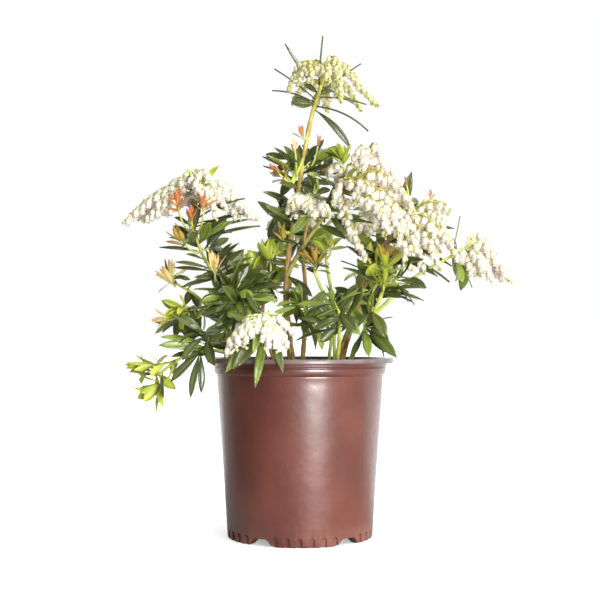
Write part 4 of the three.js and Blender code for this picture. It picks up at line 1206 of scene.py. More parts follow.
setRacemes = {
    "top_spray": dict(at=0.45, paths=[
        [(318, 62, -4), (300, 60, -8), (291, 74, -8), (286, 91, -8)],
        [(316, 64, -22), (303, 66, -34), (296, 84, -36)],
        [(318, 66, -30), (310, 66, -44), (307, 80, -48)],
        [(316, 60, 18), (302, 62, 34), (292, 76, 40)],
        [(319, 60, 24), (311, 60, 50), (304, 72, 58)],
        [(326, 60, -12), (334, 54, -24), (339, 74, -30), (341, 102, -30)],
        [(328, 62, 0), (334, 66, -8), (335, 82, -10), (336, 96, -10)],
        [(330, 62, -4), (345, 66, -8), (360, 84, -10), (378, 104, -10)],
        [(330, 60, 16), (344, 62, 30), (354, 72, 38), (360, 90, 40)],
        [(326, 60, 28), (334, 60, 54), (344, 74, 62)],
        [(324, 62, -26), (326, 68, -50), (330, 82, -56)],
    ]),
    "right_blossom_head": dict(at=0.55, paths=[
        [(356, 152, -36), (361, 144, -40), (364, 154, -42), (363, 172, -42)],
        [(366, 150, -34), (374, 141, -38), (380, 154, -38), (379, 170, -38)],
        [(366, 168, -30), (384, 165, -26), (391, 174, -24)],
        [(370, 170, -46), (392, 178, -50), (406, 194, -52), (415, 214, -52)],
        [(368, 184, -62), (386, 194, -70), (399, 212, -72), (408, 236, -72)],
        [(356, 178, -66), (366, 182, -76), (369, 196, -78), (368, 210, -78)],
        [(348, 178, -60), (354, 182, -70), (356, 192, -72), (353, 206, -72)],
        [(343, 178, -48), (337, 184, -56), (333, 194, -58), (333, 206, -58)],
        [(340, 164, -26), (333, 162, -30), (328, 168, -32), (327, 178, -32)],
        [(350, 162, -34), (350, 166, -40), (346, 178, -44)],
        [(362, 196, -72), (378, 206, -82), (385, 220, -84), (384, 238, -84)],
        [(372, 196, -64), (388, 206, -74), (396, 220, -76), (396, 236, -76)],
        [(343, 196, -44), (346, 214, -54), (354, 234, -58), (370, 262, -58)],
        [(376, 190, -44), (400, 208, -50), (412, 226, -50), (411, 252, -50)],
        [(376, 186, -36), (398, 192, -30), (412, 206, -26), (418, 228, -26)],
        [(366, 182, -28), (384, 176, -14), (398, 188, -6), (404, 206, -4)],
        [(372, 204, -60), (392, 222, -66), (402, 240, -66), (405, 262, -64)],
        [(344, 170, -12), (340, 172, 6), (336, 186, 12), (336, 200, 12)],
        [(352, 166, -6), (368, 164, 12), (380, 178, 18), (386, 196, 18)],
    ]),
    "right_outer_blossom": dict(at=0.9, paths=[
        [(420, 205, 2), (432, 202, -4), (443, 202, -8), (451, 210, -8)],
        [(422, 210, -4), (436, 212, -14), (444, 224, -16), (451, 244, -16)],
        [(418, 214, -10), (428, 218, -26), (433, 230, -28), (436, 246, -28)],
        [(412, 216, -8), (415, 230, -22), (418, 246, -24), (424, 274, -22)],
        [(408, 222, -8), (404, 236, -18), (405, 252, -20), (412, 270, -20)],
        [(416, 208, 18), (428, 200, 26), (440, 202, 30), (448, 214, 32)],
        [(424, 222, 4), (438, 232, 0), (450, 242, -2), (459, 252, -2)],
        [(420, 218, 14), (430, 228, 24), (436, 244, 26), (440, 252, 26)],
        [(412, 204, 20), (418, 204, 34), (424, 216, 38), (426, 232, 38)],
        [(424, 216, -14), (440, 228, -28), (450, 240, -30), (453, 256, -30)],
        [(420, 222, -14), (430, 240, -30), (436, 256, -32), (440, 270, -32)],
    ]),
    "far_right_spray": dict(at=0.9, paths=[
        [(472, 242, -12), (482, 242, -16), (496, 258, -18), (510, 280, -18)],
        [(470, 236, 4), (478, 233, 8), (488, 240, 8), (494, 254, 8)],
        [(466, 254, -20), (471, 262, -28), (475, 276, -30)],
        [(474, 252, -14), (484, 258, -22), (488, 268, -24), (490, 281, -24)],
        [(462, 247, -18), (459, 251, -24), (462, 262, -26)],
        [(476, 246, 4), (494, 256, 12), (505, 268, 12), (512, 282, 12)],
        [(474, 250, -26), (480, 256, -38), (484, 272, -40)],
        [(470, 252, 4), (476, 262, 10), (480, 276, 12)],
    ]),
    "left_column": dict(at=0.97, paths=[
        [(184, 182, -34), (168, 187, -38), (148, 199, -40), (121, 222, -40)],
        [(182, 184, -22), (164, 186, -14), (146, 198, -12), (129, 213, -12)],
        [(184, 194, -44), (172, 198, -52), (160, 206, -54), (146, 219, -54)],
        [(182, 196, -46), (173, 198, -60), (168, 206, -64), (167, 217, -64)],
        [(184, 178, -24), (174, 178, -24), (167, 184, -24), (163, 193, -24)],
        [(190, 174, -36), (183, 172, -44), (179, 180, -46), (178, 192, -46)],
        [(196, 172, -34), (204, 169, -42), (209, 176, -44), (210, 188, -44)],
        [(192, 176, -42), (195, 174, -56), (197, 186, -60), (196, 198, -60)],
        [(198, 184, -34), (218, 188, -38), (238, 200, -40), (257, 219, -40)],
        [(198, 188, -42), (212, 190, -54), (222, 198, -56), (225, 211, -56)],
        [(198, 192, -46), (208, 194, -60), (213, 204, -62), (214, 219, -62)],
        [(200, 180, -22), (218, 180, -14), (230, 188, -12), (234, 200, -12)],
        [(196, 186, -46), (202, 186, -60), (204, 198, -62)],
        [(198, 184, -14), (220, 190, 0), (236, 200, 4), (247, 216, 4)],
        [(190, 172, -12), (196, 169, 6), (202, 178, 10), (204, 190, 10)],
        [(184, 188, -30), (170, 190, -30), (152, 203, -30), (136, 220, -30)],
        [(180, 186, -44), (166, 194, -50), (152, 208, -50), (142, 221, -50)],
        [(198, 186, -30), (216, 194, -30), (230, 206, -30), (240, 219, -30)],
    ]),
    "front_blossom_mass": dict(at=0.6, paths=[
        [(250, 321, -108), (238, 326, -114), (229, 338, -116), (226, 356, -116)],
        [(263, 318, -106), (274, 323, -110), (283, 334, -112), (287, 348, -112)],
        [(256, 324, -112), (248, 326, -124), (244, 336, -128), (244, 348, -128)],
        [(262, 323, -112), (266, 328, -126), (266, 336, -130), (264, 348, -130)],
        [(262, 313, -100), (266, 314, -104), (266, 324, -106)],
        [(254, 320, -112), (243, 324, -120), (237, 334, -124), (235, 350, -124)],
        [(262, 320, -110), (272, 328, -120), (276, 338, -124), (277, 352, -124)],
        [(256, 318, -100), (250, 318, -106), (249, 328, -110)],
    ]),
}

# by mass, and by its carrier where that isn't the mass's own stem: where on the carrier, tip,
# width, curl, turn to the front, and the tone unless deep
setLeaves = {
    ("top_spray", "leader"): [
        (0.97, (284, 42, 8), 6, -0.1, 40), (0.97, (322, 34, 12), 3.5, -0.1, 20),
        (0.93, (273, 67, -6), 6, 0.15, 20), (0.91, (271, 89, -4), 6, 0.5, 20),
        (0.9, (290, 101, -14), 16, 0.2, 80), (0.97, (303, 83, -16), 9, 0.3, 60),
        (0.97, (360, 62, -8), 5, 0.1, 20), (0.95, (366, 103, -22), 5, 0.3, 25),
        (0.89, (368, 130, -10), 5, 0.7, 15), (0.87, (350, 148, -14), 10, 0.75, 60),
        (0.95, (332, 88, 30), 9, 0.4, 60, "mid"),
    ],
    "right_blossom_head": [
        (0.75, (357, 168, -62), 9, 0.3, 60, "mid"),
    ],
    ("right_blossom_head", "right_bough"): [
        (0.82, (343, 176, -46), 16, -0.2, 55),
    ],
    "right_outer_blossom": [
        (0.7, (411, 171, 2), 14, -0.1, 85), (0.95, (407, 176, 14), 5, 0, 20, "mid"),
        (0.9, (454, 228, -24), 6, -0.2, 60), (0.5, (437, 276, -24), 10, 0.5, 60),
        (0.5, (449, 282, -12), 6, 0.5, 20), (0.6, (451, 266, -4), 7, 0.5, 30),
    ],
    "far_right_spray": [
        (0.4, (462, 282, -26), 13, 0.3, 80, "mid"), (0.4, (460, 216, -10), 4, 0.05, 10, "mid"),
        (0.5, (471, 288, -6), 5, 0.4, 20, "mid"),
    ],
    "left_column": [
        (0.96, (218, 165, -48), 10, -0.1, 60, "lime"), (0.97, (185, 168, -48), 9, -0.1, 60, "lime"),
        (0.93, (200, 179, -62), 9, 0.2, 60, "lime"), (0.72, (243, 198, -50), 7, 0.5, 30),
        (0.56, (209, 222, -62), 15, -0.1, 75, "mid"), (0.58, (233, 220, -44), 9, -0.1, 40, "mid"),
        (0.58, (259, 226, -26), 9, 0.4, 40), (0.63, (250, 219, -20), 8, 0.4, 40),
        (0.5, (158, 247, -46), 9, 0.3, 40), (0.36, (174, 262, -50), 9, 0.3, 40),
        (0.33, (173, 268, -36), 8, 0.3, 40), (0.2, (180, 287, -40), 9, 0.4, 40),
        (0.57, (226, 221, -56), 9, 0.1, 50, "mid"), (0.68, (173, 217, -50), 9, 0.3, 45),
        (0.68, (250, 212, -20), 8, 0.3, 40), (0.36, (231, 243, -50), 9, 0.2, 50),
        (0.24, (193, 277, -44), 7, 0.3, 40), (0.3, (252, 257, -40), 8, 0.3, 40),
        (0.43, (185, 254, -44), 8, 0.3, 40), (0.33, (243, 249, -32), 10, 0.2, 50),
        (0.38, (238, 243, -40), 9, 0.1, 50), (0.56, (168, 237, -36), 8, 0.3, 40),
        (0.25, (250, 264, -44), 10, 0.3, 50),
    ],
    ("front_blossom_mass", "front_stem"): [
        (0.93, (232, 369, -122), 18, 0.4, 75), (0.88, (225, 373, -118), 15, 0.5, 65, "mid"),
        (0.9, (254, 388, -123), 11, 0.5, 70, "mid"), (0.93, (282, 373, -122), 11, 0.5, 55),
        (0.95, (281, 362, -110), 9, 0.5, 50),
    ],
    "front_blossom_mass": [
        (0.4, (252, 354, -134), 11, 0.5, 70, "mid"),
    ],
    ("left_hanging_spray", "left_low_stem"): [
        (0.94, (170, 382, -52), 12, 0.35, 65), (0.97, (190, 398, -56), 10, 0.35, 70),
        (0.97, (200, 393, -46), 9, 0.35, 70), (0.9, (170, 357, -60), 9, 0.2, 40),
        (0.94, (188, 349, -30), 9, 0.3, 30),
    ],
    ("left_mid_mass", "left_stem"): [
        (0.78, (207, 290, -52), 17, 0.2, 75, "mid"),
    ],
    "left_mid_mass": [
        (0.95, (219, 273, -66), 12, 0.2, 65), (0.95, (237, 274, -62), 10, 0.2, 60),
        (0.9, (263, 266, -60), 13, 0.2, 60), (0.9, (281, 284, -66), 10, 0.35, 45),
        (0.9, (276, 270, -54), 10, 0.3, 50), (0.95, (193, 289, -60), 7, 0.3, 35),
        (0.6, (183, 312, -56), 7, 0.3, 30), (0.9, (251, 322, -84), 13, 0.2, 75, "mid"),
        (0.9, (252, 295, -70), 14, 0.2, 60, "mid"), (0.9, (277, 301, -66), 13, 0.3, 60, "mid"),
    ],
    "centre_low_mass": [
        (0.6, (291, 303, -52), 12, 0.2, 70), (0.6, (319, 322, -58), 12, 0.4, 60, "mid"),
        (0.3, (296, 305, -40), 9, 0.4, 40), (0.9, (285, 306, -40), 9, 0.4, 40),
    ],
    ("front_right_mass", "front_right_stem"): [
        (0.95, (297, 318, -70), 9, 0.4, 35), (0.95, (296, 340, -72), 7, 0.5, 30),
    ],
    "front_right_mass": [
        (0.9, (355, 331, -88), 17, 0.2, 70), (0.9, (357, 283, -76), 12, 0.1, 60),
        (0.9, (325, 285, -74), 8, 0.2, 45),
    ],
    ("right_low_mass", "right_stem"): [
        (0.42, (396, 358, -66), 15, 0.4, 65), (0.44, (388, 340, -62), 11, 0.5, 45),
        (0.44, (381, 322, -54), 13, 0.3, 60), (0.4, (368, 357, -64), 12, 0.4, 60, "mid"),
        (0.36, (350, 358, -44), 9, 0.4, 45), (0.42, (375, 314, -44), 9, 0.4, 45),
        (0.45, (391, 317, -40), 5, 0.3, 20), (0.38, (384, 352, -30), 11, 0.4, 50),
    ],
    ("right_leafy_mass", "right_stem"): [
        (0.95, (425, 288, -30), 8, 0.4, 40), (0.95, (423, 301, -34), 7, 0.4, 40),
        (0.95, (413, 303, -26), 5, 0.4, 30), (0.93, (401, 298, -50), 12, 0.3, 60),
    ],
    "right_leafy_mass": [
        (0.3, (342, 268, -52), 9, 0.3, 45), (0.8, (345, 246, -46), 9, 0.3, 45),
        (0.5, (340, 261, -44), 5, 0.3, 20),
    ],
    "left_rim_mass": [
        (0.5, (160, 337, -62), 10, 0.35, 45, "mid"), (0.3, (157, 345, -70), 13, 0.35, 65, "mid"),
        (0.2, (170, 348, -54), 10, 0.3, 50),
    ],
    "left_lower_mass": [
        (0.3, (182, 328, -30), 11, 0.4, 50),
    ],
    ("crown_left", "leader"): [
        (0.58, (261, 156, -10), 9, 0.2, 45), (0.59, (273, 147, -18), 10, 0.1, 50),
        (0.6, (283, 145, -24), 10, 0, 60), (0.61, (290, 143, -14), 10, 0, 60),
        (0.6, (298, 144, 8), 10, 0, 60), (0.56, (262, 165, -6), 9, 0.2, 35),
        (0.55, (278, 183, -38), 12, 0.2, 65),
    ],
    ("crown_right", "leader"): [
        (0.6, (316, 144, -18), 12, 0, 65), (0.59, (331, 147, -10), 9, 0.1, 45),
        (0.58, (330, 154, -20), 9, 0.2, 45), (0.58, (330, 165, -24), 10, 0.3, 45),
        (0.56, (328, 184, -28), 10, 0.5, 55), (0.56, (321, 193, -30), 8, 0.2, 45),
    ],
    ("inner_left", "leader"): [
        (0.46, (256, 201, -40), 12, 0.2, 65), (0.51, (262, 191, -34), 10, 0.3, 60),
        (0.485, (266, 214, -42), 9, 0.3, 60), (0.36, (268, 262, -34), 9, 0.35, 55),
    ],
    ("inner_right", "right_bough"): [
        (0.98, (346, 234, -66), 14, 0.2, 65), (0.97, (292, 213, -66), 9, 0.1, 55),
        (0.8, (344, 238, -34), 13, 0.3, 50), (0.7, (261, 204, -58), 11, 0.15, 60),
    ],
    "inner_right": [
        (0.5, (372, 223, -62), 9, 0.35, 45),
    ],
    ("inner_left", "right_bough"): [
        (0.5, (268, 238, -40), 9, 0.3, 45),
    ],
    ("centre_low_mass", "leader"): [
        (0.32, (311, 297, -28), 11, 0.45, 60), (0.19, (309, 322, -30), 10, 0.35, 60),
    ],
}

# where the plant is open to the front: column, row, half width, half height
openings = [
    (253, 219, 18, 21), (242, 237, 13, 10), (182, 260, 14, 9), (208, 286, 9, 6), (178, 299, 12, 6),
    (146, 312, 14, 8), (397, 311, 17, 15), (396, 340, 9, 20), (277, 137, 14, 9), (259, 180, 14, 22),
    (345, 279, 13, 7), (160, 225, 13, 11), (312, 284, 7, 7), (324, 277, 5, 9), (166, 350, 9, 12),
    (341, 258, 13, 10), (350, 345, 9, 13), (372, 348, 9, 9), (232, 232, 6, 14), (196, 165, 9, 7),
    (262, 211, 9, 24),
]


def openingAt(column, row, *halves):
    # an opening's middle and half sizes in millimetres, where the leader stands
    across, _, height = fromView(column, row, 0)
    return across, height, *(round(half * view["columnWidth"]) for half in halves)


openSpots = [openingAt(*entry) for entry in openings]

# by mass and carrier in the same way: where on it, end, where that points, tone, leaves, length,
# slenderness, pitch
setShoots = {
    "left_column": [
        (0.6, (177, 207, -62), (173, 180, -66), "red", 13, 23, 0.3, (6, 54)),
        (0.62, (203, 208, -62), (203, 184, -64), "red", 12, 23, 0.3, (6, 52)),
        (0.64, (190, 219, -70), (189, 196, -74), "red", 10, 17, 0.3, (4, 32)),
        (0.5, (183, 242, -58), (170, 222, -66), "bronze", 10, 26, 0.26, (8, 60)),
        (0.05, (214, 273, -54), (217, 245, -60), "peach", 6, 27, 0.24, (4, 24)),
    ],
    "left_outer_tuft": [
        (0.6, (174, 286, -12), (156, 262, -16), "peach", 7, 31, 0.2, (4, 36)),
    ],
    "left_lower_mass": [
        (0.7, (168, 318, -18), (148, 320, -20), "peach", 5, 24, 0.28, (4, 40)),
        (0.6, (182, 308, -44), (160, 316, -62), "lime", 9, 28, 0.4, (14, 66)),
    ],
    "crown_left": [
        (0.3, (294, 150, -22), (292, 130, -24), "peach", 4, 14, 0.3, (2, 20)),
        (0.5, (278, 173, -30), (262, 158, -34), "red", 7, 16, 0.28, (4, 46)),
    ],
    "crown_right": [
        (0.3, (317, 145, -14), (319, 120, -14), "red", 5, 14, 0.3, (2, 24)),
    ],
    ("crown_left", "leader"): [
        (0.76, (302, 137, -8), (298, 118, -10), "red", 6, 16, 0.28, (4, 34)),
    ],
    "right_blossom_head": [
        (0.8, (343, 163, -38), (340, 135, -44), "lime", 9, 24, 0.36, (6, 56)),
        (0.85, (371, 169, -46), (371, 160, -52), "red", 3, 7, 0.35, (4, 40)),
    ],
    "right_outer_blossom": [
        (0.9, (406, 185, 4), (402, 168, 4), "red", 4, 12, 0.3, (2, 24)),
        (0.95, (430, 197, 4), (430, 180, 4), "red", 5, 10, 0.3, (2, 36)),
    ],
    "right_leafy_mass": [
        (0.5, (385, 268, -54), (388, 235, -62), "lime", 10, 33, 0.26, (26, 80)),
        (0.7, (383, 262, -58), (384, 235, -64), "bronze", 6, 24, 0.36, (4, 26)),
    ],
    ("right_leafy_mass", "right_stem"): [
        (0.97, (383, 284, -50), (386, 250, -54), "lime", 8, 28, 0.22, (36, 84)),
    ],
    "left_mid_fresh": [
        (0.7, (269, 262, -8), (264, 228, -12), "lime", 7, 33, 0.42, (2, 30)),
        (0.4, (249, 278, -12), (246, 240, -14), "lime", 5, 32, 0.4, (4, 34)),
    ],
    "inner_left": [
        (0.3, (283, 240, -28), (278, 215, -32), "bronze", 5, 22, 0.26, (4, 30)),
    ],
    "left_hanging_spray": [
        (0.3, (152, 365, -44), (118, 366, -44), "lime", 8, 34, 0.3, (2, 30)),
        (0.7, (161, 384, -48), (138, 398, -50), "lime", 11, 30, 0.42, (8, 56)),
    ],
    "centre_left_tuft": [
        (0.8, (316, 266, -18), (312, 238, -24), "bronze", 7, 26, 0.28, (6, 50)),
    ],
    "centre_right_tuft": [
        (0.8, (330, 248, 4), (328, 222, 4), "lime", 6, 24, 0.34, (6, 44)),
    ],
}


# What each mass keeps of its growth, sorted by kind.

tuftTones = {
    "left_column": "red", "left_outer_tuft": "peach", "left_lower_mass": "peach",
    "left_hanging_spray": "lime",
}
slimness = {"deep": 0.92, "mid": 1.05}
# masses that are open to the front, and the share of their nearer leaves they keep
leafShare = {
    "front_right_mass": 0.45, "crown_left": 0.15, "crown_right": 0.15, "left_column": 0.45,
    "left_hanging_spray": 0.25, "right_leafy_mass": 0.6, "right_low_mass": 0.5, "far_right_spray": 0.4,
    "right_outer_blossom": 0.6, "left_outer_tuft": 0.3, "left_lower_mass": 0.6, "centre_right_tuft": 0.5,
    "centre_left_tuft": 0.5, "left_mid_fresh": 0.7, "left_mid_mass": 0.6, "inner_left": 0.6,
}
backShare = {
    "left_hanging_spray": 0.25, "far_right_spray": 0.6, "left_outer_tuft": 0.4, "left_mid_fresh": 0.7,
}
# the share of a mass's older leaves that are dark
darkShare = {
    "left_column": 0.88, "crown_left": 0.9, "crown_right": 0.9, "inner_left": 0.85, "inner_right": 0.85,
    "front_right_mass": 0.7, "right_low_mass": 0.7, "right_leafy_mass": 0.65, "centre_low_mass": 0.62,
    "left_mid_mass": 0.78, "left_lower_mass": 0.68,
}
usualDark = dict(stem=0.5, twig=0.46)
stemRadii = dict(twig=(1.35, 0.95), shoot=(1.5, 1.05))
# the limits between which each leaf's shade and bends are drawn
bends = dict(
    grown=dict(shade=(0, 1), curl=(-0.15, 0.75), fold=(0.1, 0.5), twist=(-0.5, 0.5), bow=(-0.12, 0.12)),
    single=dict(shade=(0, 1), fold=(0.1, 0.3), twist=(-0.2, 0.2)),
    shoot=dict(shade=(0, 1), curl=(-0.5, 0.35), fold=(0.15, 0.6), twist=(-0.3, 0.3), bow=(-0.1, 0.1)),
)
leafBins = {tone: [] for tone in ("deep", "mid", "lime", "bronze", "red", "peach")}
stemBins = {"brown": [], "green": []}
keptRacemes = []
bearing = {tone: set() for tone in leafBins}


def isOpenTo(point):
    # seen from the front, the point falls in one of the openings
    nearness = 1 + point[1] / eye["distance"]
    across = point[0] / nearness
    height = (point[2] - eye["height"]) / nearness + eye["height"]
    return any(math.hypot((across - x) / wide, (height - z) / tall) < 1 for x, z, wide, tall in openSpots)


def addStem(kind, line, radii):
    stemBins[kind].append((line, np.linspace(*radii, len(line))))


def addLeaf(leaf, tone, name, kind, draw):
    drawn = {key: mix(*limits, draw()) for key, limits in bends[kind].items()}
    leafBins[tone].append({**leaf, **drawn})
    bearing[tone].add(name)


def keepLeaf(leaf, tone, order, mass, draw):
    # at its full length or cut down, where it is free
    if any(isOpenTo(leaf["root"] + leaf["along"] * leaf["length"] * share) for share in (0.55, 0.92)):
        return
    for share in (1, 0.86, 0.72, 0.58):
        if isFree(leafPoints(leaf, share), order, 0.8, 0.03):
            width = leaf["width"] * slimness.get(tone, 1.0) * math.sqrt(share) * mix(0.85, 1.15, draw())
            cut = dict(leaf, length=leaf["length"] * share, width=width)
            addLeaf(cut, tone, mass["name"], "grown", draw)
            return


def keepTwig(twig, order, mass):
    # says whether the twig has room, and adds it with a slight sag if so
    root, tip = twig["ends"]
    spots = [mix(root, tip, t) for t in (0.5, 0.8, 1)]
    if isOpenTo(tip) or not isFree(spots, order, 0.6, 0.0, mass["on"]):
        return False
    sag = np.array([0, 0, -0.05 * np.linalg.norm(tip - root)])
    sagging = lambda t: mix(root, tip, t) + sag * math.sin(math.pi * t)
    addStem("green", alongCurve(sagging, 8), stemRadii["twig"])
    return True


def keepRaceme(raceme, order, mass):
    # a head with racemes of its own keeps only those of the rule that hang behind or above
    name, heart = mass["name"], mass["heart"]
    bend, end = raceme[1:]
    if name in setRacemes and (end[1] < heart[1] + 10 or bend[2] > heart[2] + 30):
        return
    for share in (1, 0.85, 0.7):
        curve = racemeCurve(raceme, share)
        if isFree(racemePoints(curve), order, 1.5, 0.02):
            keptRacemes.append(dict(curve=curve, bare=0.1, mass=name))
            return


def olderTone(share, draw):
    return "deep" if draw() < share else "mid"


def keepMass(mass, order):
    draw = seededDraws(order + 901)
    name, middle = mass["name"], mass["heart"][1]
    tuftTone = tuftTones.get(name)
    stemKind = "green" if limbs[mass["on"]]["bark"] == "green" or mass["on"] == "leader" else "brown"
    addStem(stemKind, alongCurve(mass["stem"], 16), mass["stemRadius"])
    for leaf in mass["ownLeaves"]:
        keepLeaf(leaf, olderTone(darkShare.get(name, usualDark["stem"]), draw), order, mass, draw)
    for twig in mass["twigs"]:
        if not keepTwig(twig, order, mass):
            continue
        for raceme in twig["racemes"]:
            keepRaceme(raceme, order, mass)
        fresh = twig["kind"] == "lime"
        tone = "lime" if fresh else olderTone(darkShare.get(name, usualDark["twig"]), draw)
        headTwig = name in setRacemes and twig["kind"] in ("flowers", "spray")
        for leaf in twig["leaves"]:
            near = (leaf["root"] + leaf["along"] * leaf["length"])[1] < middle + 6
            kept = draw() < (leafShare if near else backShare).get(name, 1)
            if kept and (not headTwig or leaf["along"][1] > 0.45 and leaf["along"][2] < 0.1):
                keepLeaf(leaf, tone, order, mass, draw)
        for leaf in twig["tuft"]:
            if not tuftTone or leaf["root"][1] >= middle + 4:
                keepLeaf(leaf, tuftTone or ("lime" if fresh else "bronze"), order, mass, draw)


for order, mass in enumerate(grown):
    keepMass(mass, order)


def carrierCurve(name):
    # the middle line of a limb, or of a mass's own stem
    if name in limbs:
        return limbCurve(limbs[name])
    return next(mass["stem"] for mass in grown if mass["name"] == name)


def setLeaf(draw, mass, on, at, tip, width, curl, face, tone="deep"):
    root = carrierCurve(on)(at)
    chord = np.array(fromView(*tip), float) - root
    out = unit(chord)
    level = np.array([0, 0, 1.0]) if abs(out[2]) < 0.93 else np.array([math.copysign(1, out[0]), 0, 0])
    above = unit(level - out * np.dot(level, out))
    front = np.array([0, -1.0, 0])
    front = unit(front - out * np.dot(front, out))
    turn = math.radians(face)
    up = unit(above * math.cos(turn) + front * math.sin(turn))
    up = unit(up - out * np.dot(up, out))
    # the chord of a curled leaf is shorter than the leaf, and starts half its curl lower
    half = curl / 2 if abs(curl) > 0.02 else 0.01
    level, rise = math.cos(half), math.sin(half)
    leaf = dict(root=root, along=out * level + up * rise, up=up * level - out * rise, width=width,
                length=np.linalg.norm(chord) * half / rise, curl=2 * half, bow=0)
    addLeaf(leaf, tone, mass, "single", draw)


def setShoot(draw, mass, on, at, base, aim, tone, count, length, slender, pitch):
    root = carrierCurve(on)(at)
    base, aim = (np.array(fromView(*spot), float) for spot in (base, aim))
    curve = archBetween(root, base - unit(aim - base) * 0.45 * np.linalg.norm(base - root), base)
    addStem("green", alongCurve(curve, 8), stemRadii["shoot"])
    for leaf in whorl(curve, count, length, slender, (1, 0.88), pitch, draw):
        addLeaf(leaf, tone, mass, "shoot", draw)


def addPlaced():
    draw = seededDraws(733)
    for name, head in setRacemes.items():
        root = carrierCurve(name)(head["at"])
        for path in head["paths"]:
            curve = curveThrough([root, *(fromView(*spot) for spot in path)], even=False)
            keptRacemes.append(dict(curve=curve, bare=0.8 / len(path), mass=name))
    for table, setOne in ((setLeaves, setLeaf), (setShoots, setShoot)):
        for key, found in table.items():
            mass, on = key if isinstance(key, tuple) else (key, key)
            for entry in found:
                setOne(draw, mass, on, *entry)


addPlaced()
print("kept:", {tone: len(found) for tone, found in leafBins.items()}, "leaves,", len(keptRacemes), "racemes")


# Twigs and stems.

def makeTwigs():
    for kind, found in stemBins.items():
        for steps in sorted({len(line) for line, _ in found}):
            lines, radii = zip(*((line, widths) for line, widths in found if len(line) == steps))
            piece = sweepTubes(f"twigs{kind.title()}{steps}", lines, radii, 7)
            finishPiece(piece, [barkMaterials[kind]])
    print("twigs made")


makeTwigs()


# Leaves: one blade modelled by hand, then dealt out to every place, curled and folded there.

blade = dict(
    rows=8,
    columns=4,
    # half widths from the stalk to the tip
    outline=[0.09, 0.2, 0.5, 0.76, 0.94, 1.0, 0.9, 0.6, 0.05],
    thickness=0.012,
    groove=0.016,
    crown=0.02,
    crownFrom=0.2,
    crownTo=0.3,
)

# each tone's emission strength is painted light: a glow in the leaf's own colour that lifts its shade
leafLooks = {
    "deep": dict(
        dark="262d0e", light="57622a", under="7c8444", underLight="a0a662", vein="8c984a",
        roughness=0.3, coat=0.5, glow=0.03, paintedGlow=0.0,
    ),
    "mid": dict(
        dark="586c24", light="9db045", under="98a454", underLight="b4be70", vein="c2ce72",
        roughness=0.36, coat=0.45, glow=0.1, paintedGlow=0.05,
    ),
    "lime": dict(
        dark="98aa22", light="c4ce38", under="c4cc50", underLight="dbe074", vein="e6e99a",
        roughness=0.4, coat=0.35, glow=0.16, paintedGlow=0.03,
    ),
    "bronze": dict(
        dark="9a9630", light="c4a846", under="c8ae5c", underLight="d9bc6e", vein="e0ca7c",
        roughness=0.4, coat=0.3, glow=0.2, paintedGlow=0.08, tip="b8792e",
    ),
    "red": dict(
        dark="c2903c", light="dca64e", under="e0a468", underLight="ecb47c", vein="f0bc86",
        roughness=0.4, coat=0.3, glow=0.25, paintedGlow=0.06, tip="c84a2c", tipFrom=0.1,
    ),
    "peach": dict(
        dark="d0be66", light="e2d088", under="dccb82", underLight="ecdda2", vein="f0e4b0",
        roughness=0.42, coat=0.3, glow=0.25, paintedGlow=0.25, tip="d8985a",
    ),
}


def modelBlade():
    rows, outline = blade["rows"], blade["outline"]
    piece = addPrimitive("grid", x_subdivisions=rows, y_subdivisions=blade["columns"], size=1)
    for row, share in enumerate(outline):
        x = row / rows - 0.5
        selectVertices(piece.data, lambda co: abs(co.x - x) < 0.01)
        resizeSelected(piece, (1, share, 1), (x, 0, 0))
    selectVertices(piece.data, lambda co: abs(co.y) < 1e-4)
    inEditMode(piece, lambda: bpy.ops.transform.translate(value=(0, 0, -blade["groove"])))
    for vertex in piece.data.vertices:
        half = max(0.01, outline[round((vertex.co.x + 0.5) * rows)])
        if blade["crownFrom"] < abs(vertex.co.y) / half < blade["crownTo"]:
            vertex.co.z += blade["crown"]
        vertex.co.x += 0.5
    underside = dict(offset=-1, material_offset=1, material_offset_rim=1)
    applyModifier(piece, "SOLIDIFY", thickness=blade["thickness"], **underside)
    return cutFrom(piece)


def layLeaves(tone, cut):
    leaves = leafBins[tone]
    gather = lambda key: np.array([leaf[key] for leaf in leaves], float)
    root, along, up = gather("root"), unit(gather("along")), unit(gather("up"))
    side = np.cross(up, along)
    numbers = ("length", "width", "curl", "fold", "twist", "bow")
    length, width, curl, fold, twist, bow = (gather(key)[:, None] for key in numbers)
    u, v, w = (cut["points"][None, :, k] for k in range(3))
    # the blade bends back over its length, by curl, and sideways a little, by bow
    bend = np.where(np.abs(curl) < 0.02, 0.02, curl)
    angle = bend * u
    forward = length * np.sin(angle) / bend
    drop = length * (1 - np.cos(angle)) / bend
    sway = bow * length * u * u
    across = v * width * np.cos(fold)
    raised = np.abs(v) * width * np.sin(fold) + w * length * 0.5
    roll = twist * u
    sideways = across * np.cos(roll) - raised * np.sin(roll) + sway
    lifted = across * np.sin(roll) + raised * np.cos(roll)
    forward = forward + lifted * np.sin(angle)
    height = lifted * np.cos(angle) - drop
    points = root[:, None] + along[:, None] * forward[:, :, None]
    points = points + side[:, None] * sideways[:, :, None] + up[:, None] * height[:, :, None]
    piece = dealOut(f"leaves{tone.title()}", cut, points, {"shade": gather("shade")})
    name, look = f"leaf{tone.title()}", leafLooks[tone]
    materials = [leafMaterial(name, look), leafMaterial(name + "Under", look, under=True)]
    finishPiece(piece, materials, sorted(bearing[tone]))
    print("leaves laid:", tone, len(leaves), "and", len(piece.data.polygons), "faces")


bladeCut = modelBlade()
for tone in leafBins:
    layLeaves(tone, bladeCut)


# Flowers: urn-shaped bells that hang from arching stalks, with buds at their ends.

